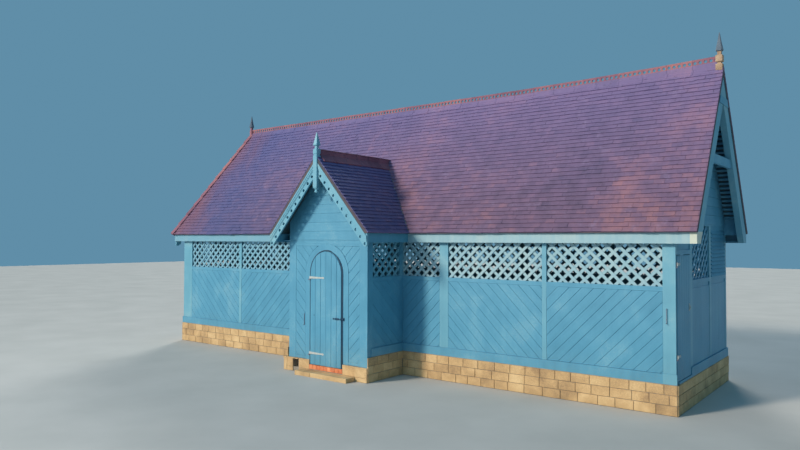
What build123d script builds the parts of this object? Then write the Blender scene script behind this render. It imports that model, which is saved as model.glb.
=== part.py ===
from build123d import *
import math
import os

# Timber summer house with a projecting gabled porch, in millimetres.
# Origin: ground level, on the porch axis, in the plane of the front wall's face.
# +X runs right along the front, -Y comes out towards the porch door, +Z is up.

os.makedirs("parts", exist_ok=True)

# Driving dimensions: levels
plinth_top = 460.0
porch_front_base = 270.0
skirting_height = 150.0
rail_bottom = 1840.0
lattice_bottom = 1910.0
lattice_top = 2570.0
end_plate_height = 100.0
fascia_bottom = 2560.0
fascia_height = 165.0
eave_tile_height = 25.0
ridge_height = 5490.0

# Driving dimensions: plan
wall_depth = 3290.0
frame_thickness = 100.0
half_panel = 1890.0
muntin_width = 80.0
post_width = 190.0
left_corner_width = 340.0
right_bay_start = 1900.0
left_bay_start = 1760.0
porch_half_width = 1030.0
porch_projection = 1060.0
porch_front_stile = 55.0
porch_rear_stile = 80.0

# Driving dimensions: boarding, skirting and lattice
boarding_recess = 15.0
boarding_thickness = 30.0
skirting_proud = 20.0
slat_width = 50.0
slat_thickness = 12.0
slat_recess = 20.0
lattice_run = 189.0
lattice_rise = 179.0

# Driving dimensions: main roof
eave_overhang = 150.0
fascia_set_back = 50.0
fascia_thickness = 28.0
fascia_ear_width = 150.0
fascia_ear_drop = 120.0
soffit_rise = 15.0
soffit_thickness = 20.0
verge_overhang = 340.0
hip_overhang = 330.0
hip_run = 1000.0
roof_thickness = 70.0
barge_thickness = 100.0
barge_width = 250.0
barge_set_back = 10.0
plate_stub_bottom = 2705.0
collar_thickness = 50.0
lower_collar_height = 3850.0
lower_collar_depth = 150.0
upper_collar_height = 4855.0
upper_collar_depth = 125.0
upper_collar_inset = 20.0
upper_collar_thickness = 15.0

# Driving dimensions: porch roof
porch_ridge_height = 4206.0
porch_eave_overhang = 253.0
porch_roof_thickness = 60.0
porch_verge_overhang = 315.0
porch_barge_set_back = 15.0
porch_barge_thickness = 35.0
porch_barge_width = 173.0
barge_hole_radius = 28.0
barge_hole_edge = 50.0
barge_hole_count = 11
barge_hole_pitch = 168.5
barge_foot_x = 1225.0
porch_gable_thickness = 60.0

# Driving dimensions: right end
side_door_start = 35.0
side_door_end = 790.0
side_door_sill = 500.0
side_door_head = 2390.0
side_post_width = 130.0
side_panel_width = 1110.0
side_muntin_width = 128.0
gable_rail_bottom = 1905.0
gable_rail_height = 70.0
gable_thickness = 50.0

# Driving dimensions: doors
door_gap = 10.0
door_back_gap = 5.0
door_thickness = 40.0
door_proud = 6.0
porch_opening_width = 870.0
porch_door_bottom = 180.0
porch_arch_top = 2393.0
jamb_trim_width = 130.0
threshold_top = 175.0
threshold_height = 85.0
step_height = 80.0
step_reach = 255.0
step_left = -860.0
step_right = 760.0

# Driving dimensions: ironwork
hinge_radius = 11.0
hinge_pin_radius = 5.0
hinge_play = 0.4
knuckle_length = 50.0
pintle_rise = 4.0
pintle_gap = 6.0
pintle_height = 20.0
pintle_reach = 45.0
side_pintle_reach = 22.0
strap_length = 400.0
side_strap_length = 160.0
strap_width = 45.0
strap_thickness = 5.0
lower_strap_rise = 225.0
upper_strap_rise = 1689.0
side_lower_hinge_rise = 370.0
side_upper_hinge_rise = 1750.0
latch_x = 300.0
latch_z = 1108.0
side_latch_y = 690.0
side_latch_z = 1564.0
latch_width = 50.0
latch_height = 120.0
knob_radius = 14.0
knob_length = 40.0
eye_x = -307.0
eye_z = 1143.0
eye_radius = 7.0
eye_length = 25.0
hook_bar = 8.0
hook_length = 216.0
hook_stand_off = 20.0
hook_tip = 30.0
porch_hook_x = -597.0
porch_hook_top = 1150.0
side_hook_from_corner = 130.0
side_hook_top = 1580.0

# Driving dimensions: floors and plinth
plinth_thickness = 180.0
plinth_proud = 20.0
floor_thickness = 60.0
floor_level = 470.0
porch_floor_level = 160.0
ledge_width = 60.0
niche_left = -880.0
niche_width = 145.0
niche_bottom = 85.0
niche_height = 160.0
niche_depth = 120.0

# Driving dimensions: ridge, hips and finials
crest_height = 120.0
crest_thickness = 25.0
ridge_wing = 60.0
ridge_tile_thickness = 20.0
porch_ridge_wing = 100.0
porch_ridge_cap = 126.0
hip_tile_wing = 95.0
hip_tile_thickness = 25.0
finial_width = 110.0
neck_width = 60.0
spike_height = 319.0
neck_height = 71.0
right_finial_foot = 5433.0
lower_block_height = 116.0
waist_height = 34.0
upper_block_height = 113.0
left_neck_depth = 120.0
porch_post_foot = 3620.0
porch_neck_height = 55.0
porch_spike_height = 263.0
pendant_height = 132.0
spike_tip = 8.0

# Levels and places that follow from the sizes above
porch_face = -porch_projection
skirting_top = plinth_top + skirting_height
fascia_top = fascia_bottom + fascia_height
eave_height = fascia_top + eave_tile_height
right_face = right_bay_start + post_width + 2 * half_panel + muntin_width + post_width
left_face = -(left_bay_start + post_width + 2 * half_panel + muntin_width + left_corner_width)
rear_in = wall_depth - frame_thickness
ridge_y = wall_depth / 2
roof_run = ridge_y + eave_overhang
roof_slope = (ridge_height - eave_height) / roof_run
roof_stretch = math.sqrt(1 + roof_slope**2)
roof_drop = roof_thickness * roof_stretch
roof_top = ridge_height + crest_height
verge_x = right_face + verge_overhang
barge_x = verge_x - barge_set_back
barge_back = barge_x - barge_thickness
hip_eave_x = left_face - hip_overhang
hip_x = hip_eave_x + hip_run
hip_slope = (ridge_height - eave_height) / hip_run
hip_fall = roof_thickness * math.sqrt(1 + hip_slope**2)
porch_eave_x = porch_half_width + porch_eave_overhang
porch_slope = (porch_ridge_height - eave_height) / porch_eave_x
porch_stretch = math.sqrt(1 + porch_slope**2)
porch_drop = porch_roof_thickness * porch_stretch
porch_verge_y = porch_face - porch_verge_overhang
porch_barge_y = porch_verge_y + porch_barge_set_back
porch_top = porch_ridge_height + porch_ridge_cap
fascia_y = -eave_overhang + fascia_set_back
fascia_in = fascia_y + fascia_thickness
door_half = porch_opening_width / 2
arch_spring = porch_arch_top - door_half

# Where the panels of each wall lie between its posts
right_post_end = right_bay_start + post_width
right_muntin = right_post_end + half_panel
right_corner = right_muntin + muntin_width + half_panel
left_post_end = -left_bay_start - post_width
left_muntin = left_post_end - half_panel
left_corner = left_muntin - muntin_width - half_panel
rear_middle = (right_bay_start - left_bay_start) / 2
half_muntin = muntin_width / 2
side_panel_start = side_door_end + side_post_width
side_panel_end = side_panel_start + side_panel_width
side_louvre_start = side_panel_end + side_muntin_width
gable_lattice_bottom = gable_rail_bottom + gable_rail_height

left_posts = [
    (left_face, left_corner),
    (left_muntin - muntin_width, left_muntin),
    (left_post_end, -left_bay_start),
]
mouth_posts = [
    (-porch_half_width, -porch_half_width + frame_thickness),
    (porch_half_width - frame_thickness, porch_half_width),
]
right_posts = [
    (right_bay_start, right_post_end),
    (right_muntin, right_muntin + muntin_width),
    (right_corner, right_face),
]
front_posts = left_posts + mouth_posts + right_posts
rear_posts = left_posts + [(rear_middle - half_muntin, rear_middle + half_muntin)] + right_posts
front_gaps = [(a[1], b[0]) for a, b in zip(front_posts, front_posts[1:])]
front_panels = [gap for gap in front_gaps if gap[0] >= porch_half_width or gap[1] <= -porch_half_width]
rear_panels = [(a[1], b[0]) for a, b in zip(rear_posts, rear_posts[1:])]
left_panels = [(frame_thickness, ridge_y - half_muntin), (ridge_y + half_muntin, rear_in)]
side_lattice = (side_panel_start, side_panel_end)
side_louvre = (side_louvre_start, rear_in)
porch_side_panel = (porch_face + frame_thickness + porch_front_stile, -porch_rear_stile)


def roof_under(y):
    """Height of the underside of the main roof at depth y."""
    return eave_height + (min(y, wall_depth - y) + eave_overhang) * roof_slope - roof_drop


def porch_under(x):
    """Height of the underside of the porch roof at a distance from the porch axis."""
    return porch_ridge_height - abs(x) * porch_slope - porch_drop


wall_top = roof_under(0.0)

front_plane = Plane.XZ
rear_plane = Plane.XZ.offset(-wall_depth)
right_plane = Plane.YZ.offset(right_face)
left_plane = Plane.YZ.offset(left_face)
porch_plane = Plane.XZ.offset(porch_projection)


def block(xs, ys, zs, mode=Mode.ADD):
    """A plain block between two places along each axis."""
    middle = ((xs[0] + xs[1]) / 2, (ys[0] + ys[1]) / 2, (zs[0] + zs[1]) / 2)
    with Locations(middle):
        Box(abs(xs[1] - xs[0]), abs(ys[1] - ys[0]), abs(zs[1] - zs[0]), mode=mode)


def rectangle_between(us, vs, mode=Mode.ADD):
    """A rectangle in the current sketch between two places along each of its axes."""
    with Locations(((us[0] + us[1]) / 2, (vs[0] + vs[1]) / 2)):
        Rectangle(abs(us[1] - us[0]), abs(vs[1] - vs[0]), mode=mode)


def rectangles(plane, spans, vs):
    """A row of rectangles of one height on a plane."""
    with BuildSketch(plane) as row:
        for span in spans:
            rectangle_between(span, vs)
    return row.sketch


def outline(plane, points):
    """A face with straight edges through the given points."""
    with BuildSketch(plane) as face:
        with BuildLine():
            Polyline(*points, close=True)
        make_face()
    return face.sketch


def slats(plane, us, vs, lean):
    """One layer of parallel slats across a panel, leaning right (+1) or left (-1)."""
    middle = ((us[0] + us[1]) / 2, (vs[0] + vs[1]) / 2)
    reach = (us[1] - us[0]) / 2 + (vs[1] - vs[0]) / 2 * lattice_run / lattice_rise
    count = int(reach // lattice_run)
    length = 2 * (us[1] - us[0] + vs[1] - vs[0])
    angle = lean * math.degrees(math.atan2(lattice_rise, lattice_run))
    with BuildSketch(plane) as layer:
        with Locations(*[(middle[0] + i * lattice_run, middle[1]) for i in range(-count, count + 1)]):
            Rectangle(length, slat_width, rotation=angle)
        rectangle_between(us, vs, mode=Mode.INTERSECT)
    return layer.sketch


def lattice_panel(plane, us, vs, lean, inward):
    """Two crossing layers of slats in a panel, fused where they cross."""
    outer = plane.offset(inward * slat_recess)
    inner = plane.offset(inward * (slat_recess + slat_thickness))
    extrude(slats(outer, us, vs, lean), amount=inward * slat_thickness)
    extrude(slats(inner, us, vs, -lean), amount=inward * slat_thickness)


def export(builder, name):
    """Label a finished piece and write it."""
    builder.part.label = name
    export_step(builder.part, f"parts/{name}.step")


# Plinth: a ring under the main walls with a ledge for the floor, and a lower ring under the porch
inner_x = (left_face + plinth_thickness, right_face - plinth_thickness)
inner_y = (plinth_thickness, wall_depth - plinth_thickness)
ledge_x = (inner_x[0] - ledge_width, inner_x[1] + ledge_width)
ledge_y = (inner_y[0] - ledge_width, inner_y[1] + ledge_width)
porch_out = porch_half_width + plinth_proud
porch_in = porch_half_width - plinth_thickness
porch_in_y = porch_face + plinth_thickness
plinth_front = porch_face - plinth_proud
threshold_bottom = threshold_top - threshold_height
with BuildPart() as plinth:
    block((left_face - plinth_proud, right_face + plinth_proud),
          (-plinth_proud, wall_depth + plinth_proud), (0, plinth_top))
    block(inner_x, inner_y, (0, plinth_top), mode=Mode.SUBTRACT)
    block(ledge_x, ledge_y, (floor_level - floor_thickness, plinth_top), mode=Mode.SUBTRACT)
    block((-porch_out, porch_out), (plinth_front, -plinth_proud), (0, porch_front_base))
    for side in (-1, 1):
        block((side * porch_in, side * porch_out), (porch_face + frame_thickness, -plinth_proud),
              (0, plinth_top))
    block((-porch_in, porch_in), (porch_in_y, -plinth_proud), (0, plinth_top), mode=Mode.SUBTRACT)
    block((-door_half, door_half), (plinth_front, porch_in_y), (threshold_bottom, plinth_top),
          mode=Mode.SUBTRACT)
    block((niche_left, niche_left + niche_width), (plinth_front, plinth_front + niche_depth),
          (niche_bottom, niche_bottom + niche_height), mode=Mode.SUBTRACT)
export(plinth, "plinth")

with BuildPart() as threshold:
    block((-door_half, door_half), (plinth_front, porch_in_y), (threshold_bottom, threshold_top))
export(threshold, "threshold")

with BuildPart() as door_step:
    block((step_left, step_right), (plinth_front - step_reach, plinth_front), (0, step_height))
export(door_step, "door_step")

with BuildPart() as main_floor:
    block(ledge_x, ledge_y, (floor_level - floor_thickness, floor_level))
export(main_floor, "main_floor")

with BuildPart() as porch_floor:
    block((-porch_in, porch_in), (porch_in_y, -plinth_proud),
          (porch_floor_level - floor_thickness, porch_floor_level))
export(porch_floor, "porch_floor")

# Posts of the main building; the right corner post is rebated for the side door
side_leaf_x = right_face + door_proud
rebate_x = side_leaf_x - door_thickness - door_back_gap
post_zs = (plinth_top, lattice_top)
with BuildPart() as posts:
    extrude(rectangles(front_plane, front_posts, post_zs), amount=-frame_thickness)
    extrude(rectangles(rear_plane, rear_posts, post_zs), amount=frame_thickness)
    left_muntins = [(left_panels[0][1], left_panels[1][0])]
    extrude(rectangles(left_plane, left_muntins, post_zs), amount=frame_thickness)
    right_muntins = [(side_door_end, side_panel_start), (side_panel_end, side_louvre_start)]
    extrude(rectangles(right_plane, right_muntins, (plinth_top, wall_top)), amount=-frame_thickness)
    block((rebate_x, right_face), (side_door_start, frame_thickness),
          (side_door_sill - door_back_gap, side_door_head), mode=Mode.SUBTRACT)
export(posts, "posts")

# Rails between the posts: one at the floor, one under the lattice, a lintel and a plate at the ends
foot_zs = (plinth_top, skirting_top)
middle_zs = (rail_bottom, lattice_bottom)
side_middle_zs = (gable_rail_bottom, gable_lattice_bottom)
lintel_top = side_door_head + gable_rail_height
with BuildPart() as rails:
    for zs in (foot_zs, middle_zs):
        extrude(rectangles(front_plane, front_panels, zs), amount=-frame_thickness)
        extrude(rectangles(rear_plane, rear_panels, zs), amount=frame_thickness)
        extrude(rectangles(left_plane, left_panels, zs), amount=frame_thickness)
    for zs in (foot_zs, side_middle_zs):
        extrude(rectangles(right_plane, [side_lattice, side_louvre], zs), amount=-frame_thickness)
    block((right_face - frame_thickness, right_face), (frame_thickness, side_door_end),
          (side_door_head, lintel_top))
    block((left_face, left_face + frame_thickness), (frame_thickness, rear_in),
          (lattice_top, lattice_top + end_plate_height))
export(rails, "rails")

# Wall plates from the posts to the underside of the roof, with stubs that carry the right verge
with BuildPart() as wall_plates:
    for y_out, y_in in ((0.0, frame_thickness), (wall_depth, rear_in)):
        slope_top = [(y_in, roof_under(y_in)), (y_out, wall_top)]
        plate = outline(left_plane, [(y_out, lattice_top), (y_in, lattice_top)] + slope_top)
        stub = outline(right_plane, [(y_out, plate_stub_bottom), (y_in, plate_stub_bottom)] + slope_top)
        extrude(plate, amount=right_face - gable_thickness - left_face)
        extrude(stub, amount=barge_back - right_face)
export(wall_plates, "wall_plates")

# Skirting boards outside the posts
with BuildPart() as long_skirting:
    front_skirting = [(left_face, -porch_half_width), (porch_half_width, right_face)]
    extrude(rectangles(front_plane, front_skirting, foot_zs), amount=skirting_proud)
    extrude(rectangles(rear_plane, [(left_face, right_face)], foot_zs), amount=-skirting_proud)
export(long_skirting, "long_skirting")

with BuildPart() as end_skirting:
    whole_end = (-skirting_proud, wall_depth + skirting_proud)
    extrude(rectangles(left_plane, [whole_end], foot_zs), amount=-skirting_proud)
    extrude(rectangles(right_plane, [(side_door_end, whole_end[1])], foot_zs), amount=skirting_proud)
export(end_skirting, "end_skirting")

# Boarded panels set back between the posts
board_zs = (skirting_top, rail_bottom)
with BuildPart() as wall_boarding:
    extrude(rectangles(front_plane.offset(-boarding_recess), front_panels, board_zs),
            amount=-boarding_thickness)
    extrude(rectangles(rear_plane.offset(boarding_recess), rear_panels, board_zs), amount=boarding_thickness)
    extrude(rectangles(left_plane.offset(boarding_recess), left_panels, board_zs), amount=boarding_thickness)
    right_boards = right_plane.offset(-boarding_recess)
    low_zs = (skirting_top, gable_rail_bottom)
    extrude(rectangles(right_boards, [side_lattice, side_louvre], low_zs), amount=-boarding_thickness)
    extrude(rectangles(right_boards, [side_louvre], (gable_lattice_bottom, wall_top)),
            amount=-boarding_thickness)
    header = (frame_thickness, side_door_end)
    extrude(rectangles(right_boards, [header], (lintel_top, wall_top)), amount=-boarding_thickness)
export(wall_boarding, "wall_boarding")

with BuildPart() as side_sill:
    block((right_face - frame_thickness, right_face + skirting_proud), (frame_thickness, side_door_end),
          (plinth_top, side_door_sill - door_back_gap))
export(side_sill, "side_sill")

# Lattice screens over the rails
lattice_zs = (lattice_bottom, lattice_top)
with BuildPart() as front_lattice:
    for panel, lean in zip(front_panels, (1, 1, 1, 1, 1, -1)):
        lattice_panel(front_plane, panel, lattice_zs, lean, -1)
export(front_lattice, "front_lattice")

for name, panels in (("rear_lattice_left", rear_panels[:3]), ("rear_lattice_right", rear_panels[3:])):
    with BuildPart() as rear_lattice:
        for panel in panels:
            lattice_panel(rear_plane, panel, lattice_zs, 1, 1)
    export(rear_lattice, name)

with BuildPart() as end_lattices:
    for panel in left_panels:
        lattice_panel(left_plane, panel, lattice_zs, 1, 1)
    lattice_panel(right_plane, side_lattice, (gable_lattice_bottom, wall_top), 1, -1)
export(end_lattices, "end_lattices")

# Boarded gable of the right end, standing on the wall below and lapping the ends of the plates
with BuildPart() as right_gable:
    boards = outline(right_plane, [
        (0.0, lattice_top), (frame_thickness, lattice_top), (frame_thickness, wall_top), (rear_in, wall_top),
        (rear_in, lattice_top), (wall_depth, lattice_top), (wall_depth, wall_top),
        (ridge_y, roof_under(ridge_y)), (0.0, wall_top)])
    extrude(boards, amount=-gable_thickness)
export(right_gable, "right_gable")

# Sockets cut in the main roof for its two finials
half_neck = neck_width / 2
half_finial = finial_width / 2
left_socket_foot = ridge_height - left_neck_depth


def around(x, y, half):
    """Plan of a square post: its two places along X and along Y."""
    return (x - half, x + half), (y - half, y + half)


def cut_sockets():
    """Room for the finials at both ends of the main ridge."""
    block(*around(hip_x, ridge_y, half_neck), (left_socket_foot, roof_top), mode=Mode.SUBTRACT)
    block(*around(barge_x, ridge_y, half_finial), (right_finial_foot, roof_top), mode=Mode.SUBTRACT)


# Main roof: tiled slopes as flat slabs, mitred along the hips and meeting at the ridge
front_hip_cut = Plane(origin=(hip_eave_x, -eave_overhang, 0), x_dir=(hip_run, roof_run, 0),
                      z_dir=(roof_run, -hip_run, 0))
rear_hip_cut = Plane(origin=(hip_eave_x, wall_depth + eave_overhang, 0), x_dir=(hip_run, -roof_run, 0),
                     z_dir=(roof_run, hip_run, 0))


def flat_edge(drop, slope):
    """Width of the level underside along the edge of a slab."""
    return (drop - eave_tile_height) / slope


def slope_section(plane, start, inwards, run, slope, drop):
    """Section of a roof slab: tile edge at the eave, outer face up to the ridge, inner face back."""
    ridge_place = start + inwards * run
    return outline(plane, [
        (start, eave_height), (start, fascia_top), (start + inwards * flat_edge(drop, slope), fascia_top),
        (ridge_place, eave_height + run * slope - drop), (ridge_place, eave_height + run * slope)])


eave_plane = Plane.YZ.offset(hip_eave_x)
with BuildPart() as front_roof:
    extrude(slope_section(eave_plane, -eave_overhang, 1, roof_run, roof_slope, roof_drop),
            amount=verge_x - hip_eave_x)
    split(bisect_by=front_hip_cut, keep=Keep.TOP)
    void_half = (porch_under(0) - fascia_bottom) / porch_slope
    porch_void = outline(Plane.XZ.offset(eave_overhang), [
        (-void_half, fascia_bottom), (void_half, fascia_bottom), (0, porch_under(0))])
    extrude(porch_void, amount=-roof_run, mode=Mode.SUBTRACT)
    cut_sockets()
export(front_roof, "front_roof")

with BuildPart() as rear_roof:
    extrude(slope_section(eave_plane, wall_depth + eave_overhang, -1, roof_run, roof_slope, roof_drop),
            amount=verge_x - hip_eave_x)
    split(bisect_by=rear_hip_cut, keep=Keep.TOP)
    cut_sockets()
export(rear_roof, "rear_roof")

with BuildPart() as hip_roof:
    extrude(slope_section(Plane.XZ.offset(eave_overhang), hip_eave_x, 1, hip_run, hip_slope, hip_fall),
            amount=-(wall_depth + 2 * eave_overhang))
    split(bisect_by=front_hip_cut, keep=Keep.BOTTOM)
    split(bisect_by=rear_hip_cut, keep=Keep.BOTTOM)
    cut_sockets()
export(hip_roof, "hip_roof")

# Capping tiles down the two hips, folded over the edge between the slopes
with BuildPart() as hip_tiles:
    for corner_y, inwards in ((-eave_overhang, 1), (wall_depth + eave_overhang, -1)):
        hip_line = Vector(hip_run, inwards * roof_run, ridge_height - eave_height)
        along = hip_line.normalized()
        over_long = (Vector(1, 0, 0) - along * along.X).normalized()
        over_hip = (Vector(0, inwards, 0) - along * (along.Y * inwards)).normalized()
        long_normal = Vector(0, -inwards * roof_slope, 1).normalized()
        hip_normal = Vector(-hip_slope, 0, 1).normalized()
        bend = (long_normal + hip_normal) * (1 / (1 + long_normal.dot(hip_normal)))
        section_plane = Plane(origin=(hip_eave_x, corner_y, eave_height), x_dir=over_long, z_dir=along)
        corners = [
            Vector(0, 0, 0), over_long * hip_tile_wing,
            over_long * hip_tile_wing + long_normal * hip_tile_thickness, bend * hip_tile_thickness,
            over_hip * hip_tile_wing + hip_normal * hip_tile_thickness, over_hip * hip_tile_wing]
        flat = [(c.dot(section_plane.x_dir), c.dot(section_plane.y_dir)) for c in corners]
        extrude(outline(section_plane, flat), amount=hip_line.length)
    split(bisect_by=Plane.XY.offset(eave_height), keep=Keep.TOP)
    split(bisect_by=Plane.YZ.offset(hip_x - half_neck), keep=Keep.BOTTOM)
    split(bisect_by=Plane.XY.offset(left_socket_foot), keep=Keep.BOTTOM)
export(hip_tiles, "hip_tiles")

# Ridge tiles with an upright crest
half_crest = crest_thickness / 2


def ridge_section(plane, middle, peak, slope, wing, top):
    """Section of a ridge tile: two wings on the slopes and a crest over their meeting."""
    stretch = math.sqrt(1 + slope**2)
    wing_low = peak - wing * slope
    tip = wing + ridge_tile_thickness * slope / stretch
    tip_z = wing_low + ridge_tile_thickness / stretch
    crest_foot = peak + ridge_tile_thickness * stretch - half_crest * slope
    return outline(plane, [
        (middle - wing, wing_low), (middle, peak), (middle + wing, wing_low), (middle + tip, tip_z),
        (middle + half_crest, crest_foot), (middle + half_crest, top), (middle - half_crest, top),
        (middle - half_crest, crest_foot), (middle - tip, tip_z)])


with BuildPart() as main_ridge:
    ridge_start = Plane.YZ.offset(hip_x + half_neck)
    extrude(ridge_section(ridge_start, ridge_y, ridge_height, roof_slope, ridge_wing, roof_top),
            amount=barge_x - half_finial - hip_x - half_neck)
export(main_ridge, "main_ridge")

# Fascias and soffits along the eaves
fascia_zs = (fascia_bottom, fascia_top)
soffit_zs = (fascia_bottom + soffit_rise, fascia_bottom + soffit_rise + soffit_thickness)
hip_fascia_x = hip_eave_x + fascia_set_back
hip_fascia_in = hip_fascia_x + fascia_thickness
porch_fascia_x = porch_eave_x - fascia_set_back
porch_fascia_in = porch_fascia_x - fascia_thickness
with BuildPart() as long_fascias:
    runs = (
        (0.0, -1, (hip_fascia_x, -porch_fascia_in), (hip_fascia_in, -porch_half_width)),
        (0.0, -1, (porch_fascia_in, barge_back), (porch_half_width, barge_back)),
        (wall_depth, 1, (hip_fascia_x, barge_back), (hip_fascia_in, barge_back)),
    )
    for wall_y, outwards, board_xs, soffit_xs in runs:
        inner = wall_y - outwards * fascia_in
        block(board_xs, (wall_y - outwards * fascia_y, inner), fascia_zs)
        block(soffit_xs, (inner, wall_y), soffit_zs)
export(long_fascias, "long_fascias")

# The fascia over the left end drops in a rounded ear at both corners
with BuildPart() as hip_fascia:
    ear_straight = fascia_ear_width - fascia_ear_drop
    ear_bottom = fascia_bottom - fascia_ear_drop
    board_ys = (fascia_in, wall_depth - fascia_in)
    with BuildSketch(Plane.YZ.offset(hip_fascia_x)) as board:
        for end, inwards in ((board_ys[0], 1), (board_ys[1], -1)):
            with Locations((end + inwards * ear_straight, fascia_bottom)):
                Circle(fascia_ear_drop)
        rectangle_between(board_ys, (ear_bottom, fascia_top), mode=Mode.INTERSECT)
        for end, inwards in ((board_ys[0], 1), (board_ys[1], -1)):
            rectangle_between((end, end + inwards * ear_straight), (ear_bottom, fascia_bottom))
        rectangle_between(board_ys, fascia_zs)
    extrude(board.sketch, amount=fascia_thickness)
    block((hip_fascia_in, left_face), (0.0, wall_depth), soffit_zs)
export(hip_fascia, "hip_fascia")

with BuildPart() as porch_fascias:
    for side in (-1, 1):
        block((side * porch_fascia_x, side * porch_fascia_in),
              (porch_barge_y + porch_barge_thickness, fascia_y), fascia_zs)
        block((side * porch_fascia_in, side * porch_half_width), (porch_face, fascia_in), soffit_zs)
export(porch_fascias, "porch_fascias")

# Bargeboards of the right end, with a collar between them and a plate over their joint
barge_peak = roof_under(ridge_y) - barge_width * roof_stretch


def barge_inner(z):
    """Half the width between the inner edges of the bargeboards at a height."""
    return (barge_peak - z) / roof_slope


for name, side in (("right_barge_front", -1), ("right_barge_rear", 1)):
    with BuildPart() as right_barge:
        edge = [
            (0, roof_under(ridge_y)), (roof_run - flat_edge(roof_drop, roof_slope), fascia_top),
            (ridge_y - fascia_y, fascia_top), (ridge_y - fascia_y, fascia_bottom),
            (barge_inner(fascia_bottom), fascia_bottom), (0, barge_peak)]
        extrude(outline(Plane.YZ.offset(barge_back), [(ridge_y + side * y, z) for y, z in edge]),
                amount=barge_thickness)
    export(right_barge, name)

with BuildPart() as right_collars:
    lower = (lower_collar_height, lower_collar_height + lower_collar_depth)
    upper = (upper_collar_height, upper_collar_height + upper_collar_depth)
    collar = outline(Plane.YZ.offset(barge_back + (barge_thickness - collar_thickness) / 2), [
        (ridge_y - barge_inner(lower[0]), lower[0]), (ridge_y + barge_inner(lower[0]), lower[0]),
        (ridge_y + barge_inner(lower[1]), lower[1]), (ridge_y - barge_inner(lower[1]), lower[1])])
    extrude(collar, amount=collar_thickness)
    halves = [(roof_under(ridge_y) - z) / roof_slope - upper_collar_inset for z in upper]
    plate = outline(Plane.YZ.offset(barge_x), [
        (ridge_y - halves[0], upper[0]), (ridge_y + halves[0], upper[0]),
        (ridge_y + halves[1], upper[1]), (ridge_y - halves[1], upper[1])])
    extrude(plate, amount=upper_collar_thickness)
export(right_collars, "right_collars")

# Porch front: corner posts and door trim at full thickness, boards set back between them
trim_edge = door_half + jamb_trim_width
corner_edge = porch_half_width - post_width
for name, side in (("porch_wall_left", -1), ("porch_wall_right", 1)):
    with BuildPart() as porch_wall:
        zs = (porch_front_base, arch_spring)
        porch_ys = (porch_face, porch_face + frame_thickness)
        block((side * door_half, side * trim_edge), porch_ys, zs)
        block((side * corner_edge, side * porch_half_width), porch_ys, zs)
        block((side * trim_edge, side * corner_edge), (porch_face + boarding_recess, porch_ys[1]), zs)
    export(porch_wall, name)

with BuildPart() as porch_wall_head:
    head_zs = (arch_spring, lattice_top)
    with BuildSketch(porch_plane.offset(-boarding_recess)) as boards:
        rectangle_between((-porch_half_width, porch_half_width), head_zs)
        with Locations((0, arch_spring)):
            Circle(door_half, mode=Mode.SUBTRACT)
    extrude(boards.sketch, amount=boarding_recess - frame_thickness)
    with BuildSketch(porch_plane) as trim:
        with Locations((0, arch_spring)):
            Circle(trim_edge)
        rectangle_between((-porch_half_width, porch_half_width), head_zs, mode=Mode.INTERSECT)
        for side in (-1, 1):
            rectangle_between((side * corner_edge, side * porch_half_width), head_zs)
        with Locations((0, arch_spring)):
            Circle(door_half, mode=Mode.SUBTRACT)
    extrude(trim.sketch, amount=-boarding_recess)
export(porch_wall_head, "porch_wall_head")

with BuildPart() as porch_gable:
    boards = outline(porch_plane, [
        (-porch_half_width, lattice_top), (porch_half_width, lattice_top),
        (porch_half_width, porch_under(porch_half_width)), (0, porch_under(0)),
        (-porch_half_width, porch_under(porch_half_width))])
    extrude(boards, amount=-porch_gable_thickness)
export(porch_gable, "porch_gable")

# Porch sides: framed, boarded and latticed like the main walls
porch_side_ys = (porch_face + frame_thickness, 0.0)
with BuildPart() as porch_side_frames:
    for side in (-1, 1):
        with BuildSketch(Plane.YZ.offset(side * porch_half_width)) as elevation:
            rectangle_between(porch_side_ys, post_zs)
            rectangle_between(porch_side_panel, board_zs, mode=Mode.SUBTRACT)
            rectangle_between(porch_side_panel, lattice_zs, mode=Mode.SUBTRACT)
        extrude(elevation.sketch, amount=-side * frame_thickness)
        x_out = side * porch_half_width
        x_in = side * (porch_half_width - frame_thickness)
        plate = outline(Plane.XZ, [
            (x_out, lattice_top), (x_in, lattice_top),
            (x_in, porch_under(x_in)), (x_out, porch_under(x_out)),
        ])
        extrude(plate, amount=porch_projection - frame_thickness)
        block((x_out, x_out + side * skirting_proud), (porch_side_ys[0], -skirting_proud), foot_zs)
export(porch_side_frames, "porch_side_frames")

with BuildPart() as porch_side_boarding:
    for side in (-1, 1):
        x_out = side * (porch_half_width - boarding_recess)
        block((x_out, x_out - side * boarding_thickness), porch_side_panel, board_zs)
export(porch_side_boarding, "porch_side_boarding")

with BuildPart() as porch_side_lattices:
    for side in (-1, 1):
        lattice_panel(Plane.YZ.offset(side * porch_half_width), porch_side_panel, lattice_zs, 1, -side)
export(porch_side_lattices, "porch_side_lattices")

# Porch roof: two slabs that run back onto the main front slope, cut to it along the valleys
main_slope_plane = Plane(origin=(0, -eave_overhang, eave_height), x_dir=(1, 0, 0), z_dir=(0, -roof_slope, 1))
verge_plane = Plane.XZ.offset(-porch_verge_y)
porch_length = ridge_y - porch_verge_y


def cut_post_socket():
    """Room for the finial post of the porch."""
    block(*around(0, porch_barge_y, half_finial), (porch_post_foot, porch_top), mode=Mode.SUBTRACT)


for name, side in (("porch_roof_left", -1), ("porch_roof_right", 1)):
    with BuildPart() as porch_slab:
        slab = slope_section(verge_plane, side * porch_eave_x, -side, porch_eave_x, porch_slope, porch_drop)
        extrude(slab, amount=-porch_length)
        split(bisect_by=main_slope_plane, keep=Keep.TOP)
        cut_post_socket()
    export(porch_slab, name)

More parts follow.
